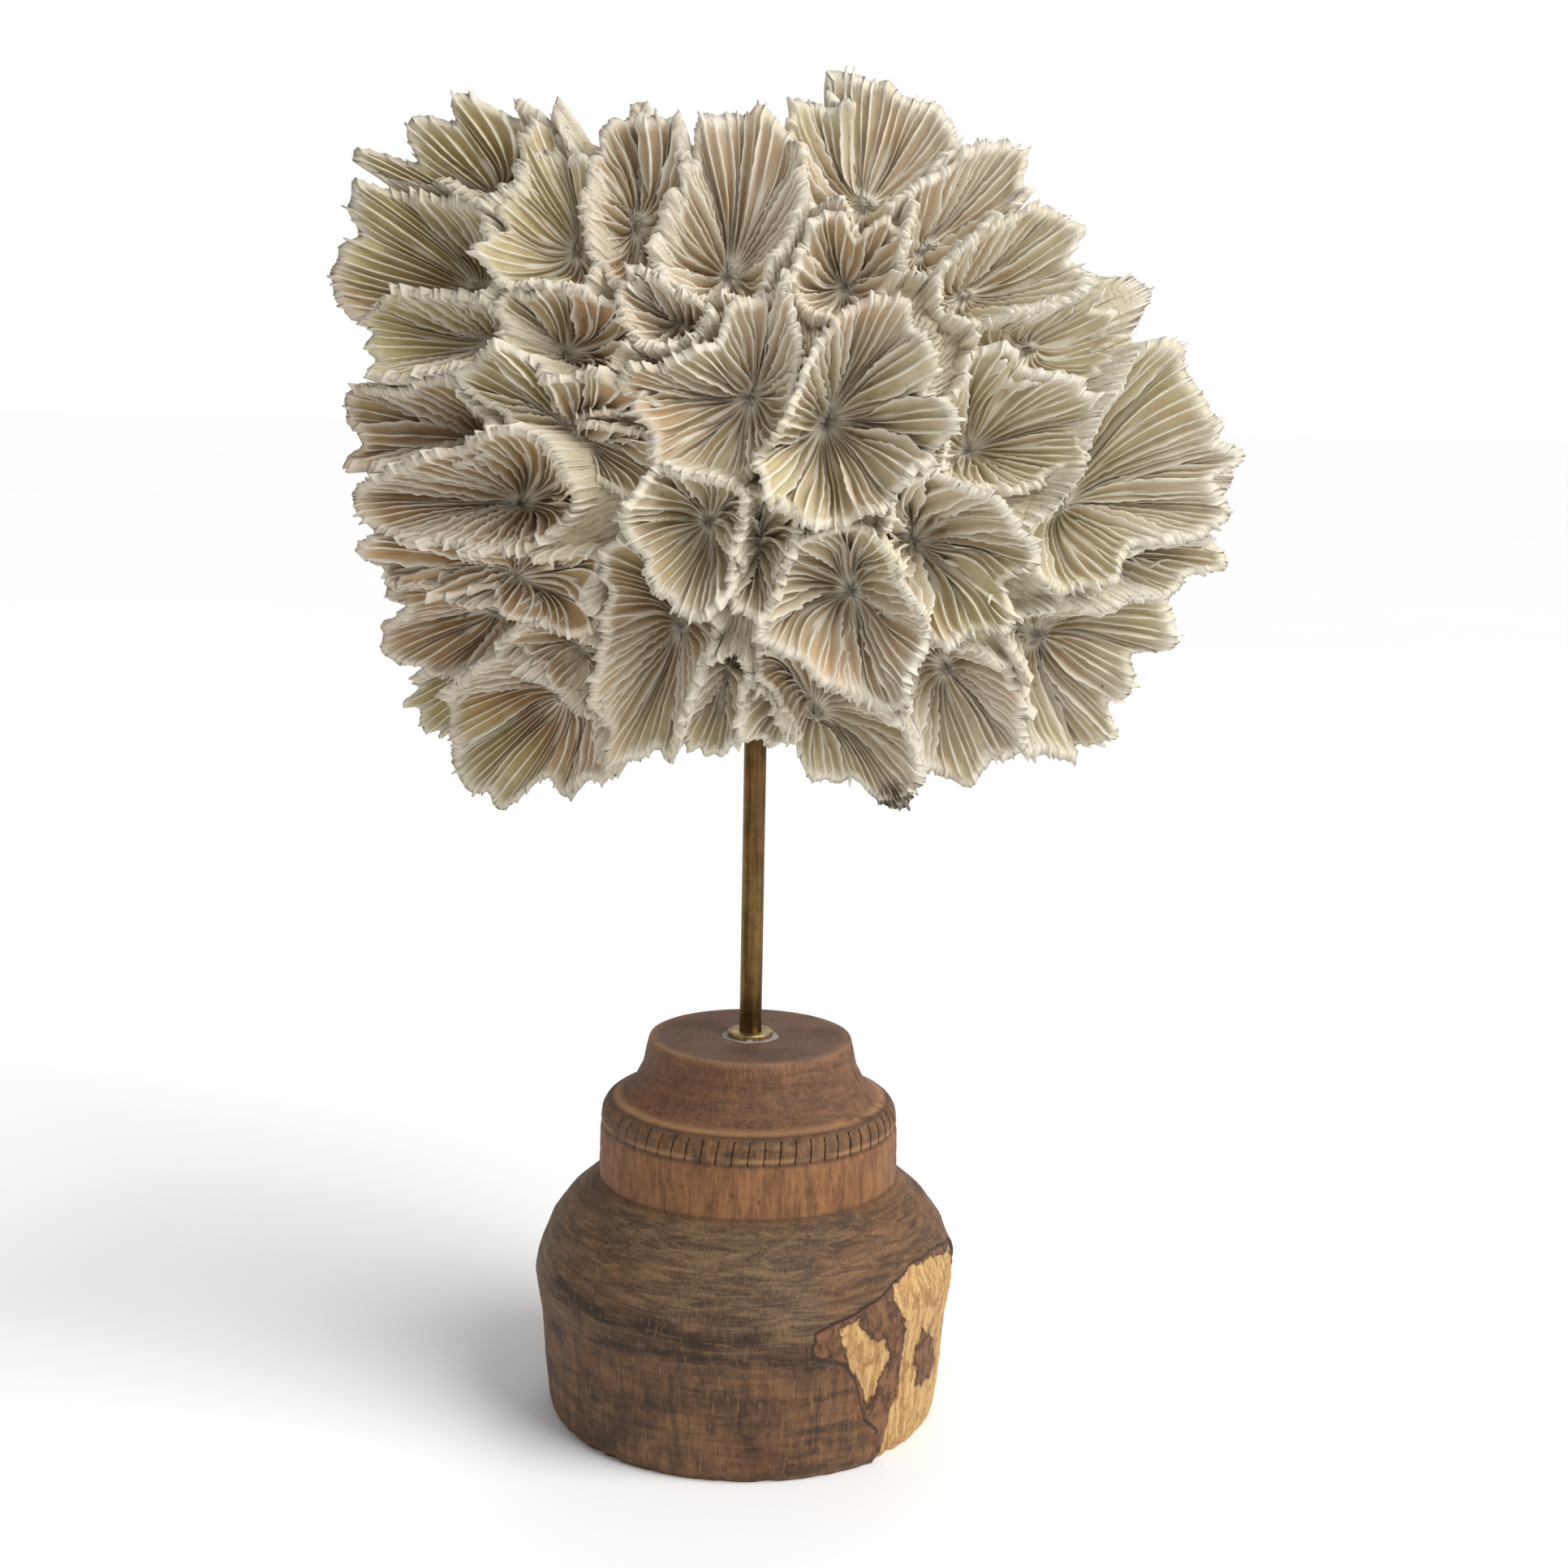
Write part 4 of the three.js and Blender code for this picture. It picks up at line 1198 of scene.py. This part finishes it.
# %% The glue
glue_reach, glue_thickness = 1.5, 0.22
glue_creep = 0.055
bpy.ops.object.select_all(action="DESELECT")
bpy.ops.mesh.primitive_circle_add(vertices=120, radius=washer_radius + glue_reach * mm,
                                  fill_type="NGON", location=(0, 0, base_top[1] * mm))
glue = fresh_piece("glue_skin")
bpy.ops.mesh.extrude_region_move(TRANSFORM_OT_translate={"value": (0, 0, glue_thickness * mm)})
select_edges(glue, lambda a, b: is_level(a, b) and a.z > base_top[1] + glue_thickness / 2)
bpy.ops.mesh.bevel(offset=0.12 * mm, segments=2)
outward_faces()
bpy.ops.object.transform_apply(location=True, rotation=True, scale=True)
glue_dice = np.random.default_rng(5)
turns = np.array([math.atan2(v.co.y, v.co.x) / (2 * math.pi) for v in glue.data.vertices])
creep = 1 + glue_creep * waves(glue_dice, turns, np.arange(2, 9))
for vertex, share in zip(glue.data.vertices, creep):
    vertex.co.x *= share
    vertex.co.y *= share

# %% The beads of glue
bead_angles = np.radians([-96, -91, -86, -74])
bead_radii = (0.55, 0.47, 0.39, 0.31)
bead_lift, bead_gap = 0.3, 0.2
for bead_angle, bead_radius in zip(bead_angles, bead_radii):
    bpy.ops.object.select_all(action="DESELECT")
    bead_place = Vector((math.cos(bead_angle), math.sin(bead_angle), 0))
    bead_place *= washer_radius + bead_gap * mm
    bead_place.z = (base_top[1] + bead_lift) * mm
    bpy.ops.mesh.primitive_ico_sphere_add(subdivisions=3, radius=bead_radius * mm,
                                          location=bead_place)
    bpy.ops.object.transform_apply(location=True, rotation=True, scale=True)
    drop = bpy.context.object
    bpy.ops.object.select_all(action="DESELECT")
    drop.select_set(True)
    glue.select_set(True)
    bpy.context.view_layer.objects.active = glue
    bpy.ops.object.join()
bpy.ops.object.shade_smooth_by_angle(angle=math.radians(50))


def glue_finish():
    material, wire = new_finish("dry_glue")
    cloud = noise(wire, wire.node("TexCoord", output=3), 500, 3, 0.6)
    haze = mix_colours(wire, cloud, colour(190, 178, 176), colour(236, 228, 222))
    set_shader(material, Base_Color=haze, Roughness=0.12 + cloud * 0.15, Alpha=0.22 + cloud * 0.2,
               Normal=bump(wire, cloud, 0.0001, 0.4))
    return material


settle(glue, glue_finish(), "brass")
print("glue:", len(glue.data.polygons), "faces")

# %% [markdown]
# ## The floor
#
# The floor is a wide pale plane. A faint unevenness in its colour keeps it from looking drawn.

# %% The floor
bpy.ops.object.select_all(action="DESELECT")
bpy.ops.mesh.primitive_plane_add(size=16, location=(0, 0, 0))
floor = bpy.context.object
floor.name = "floor"


def floor_finish():
    material, wire = new_finish("pale_floor")
    cloud = noise(wire, wire.node("TexCoord", output=3), 3, 3)
    pale = mix_colours(wire, cloud, (0.98, 0.98, 0.98, 1), (1, 1, 1, 1))
    set_shader(material, Base_Color=pale, Roughness=0.75 + cloud * 0.1)
    set_shader(material, Specular_IOR_Level=0.2)
    return material


floor.data.materials.append(floor_finish())
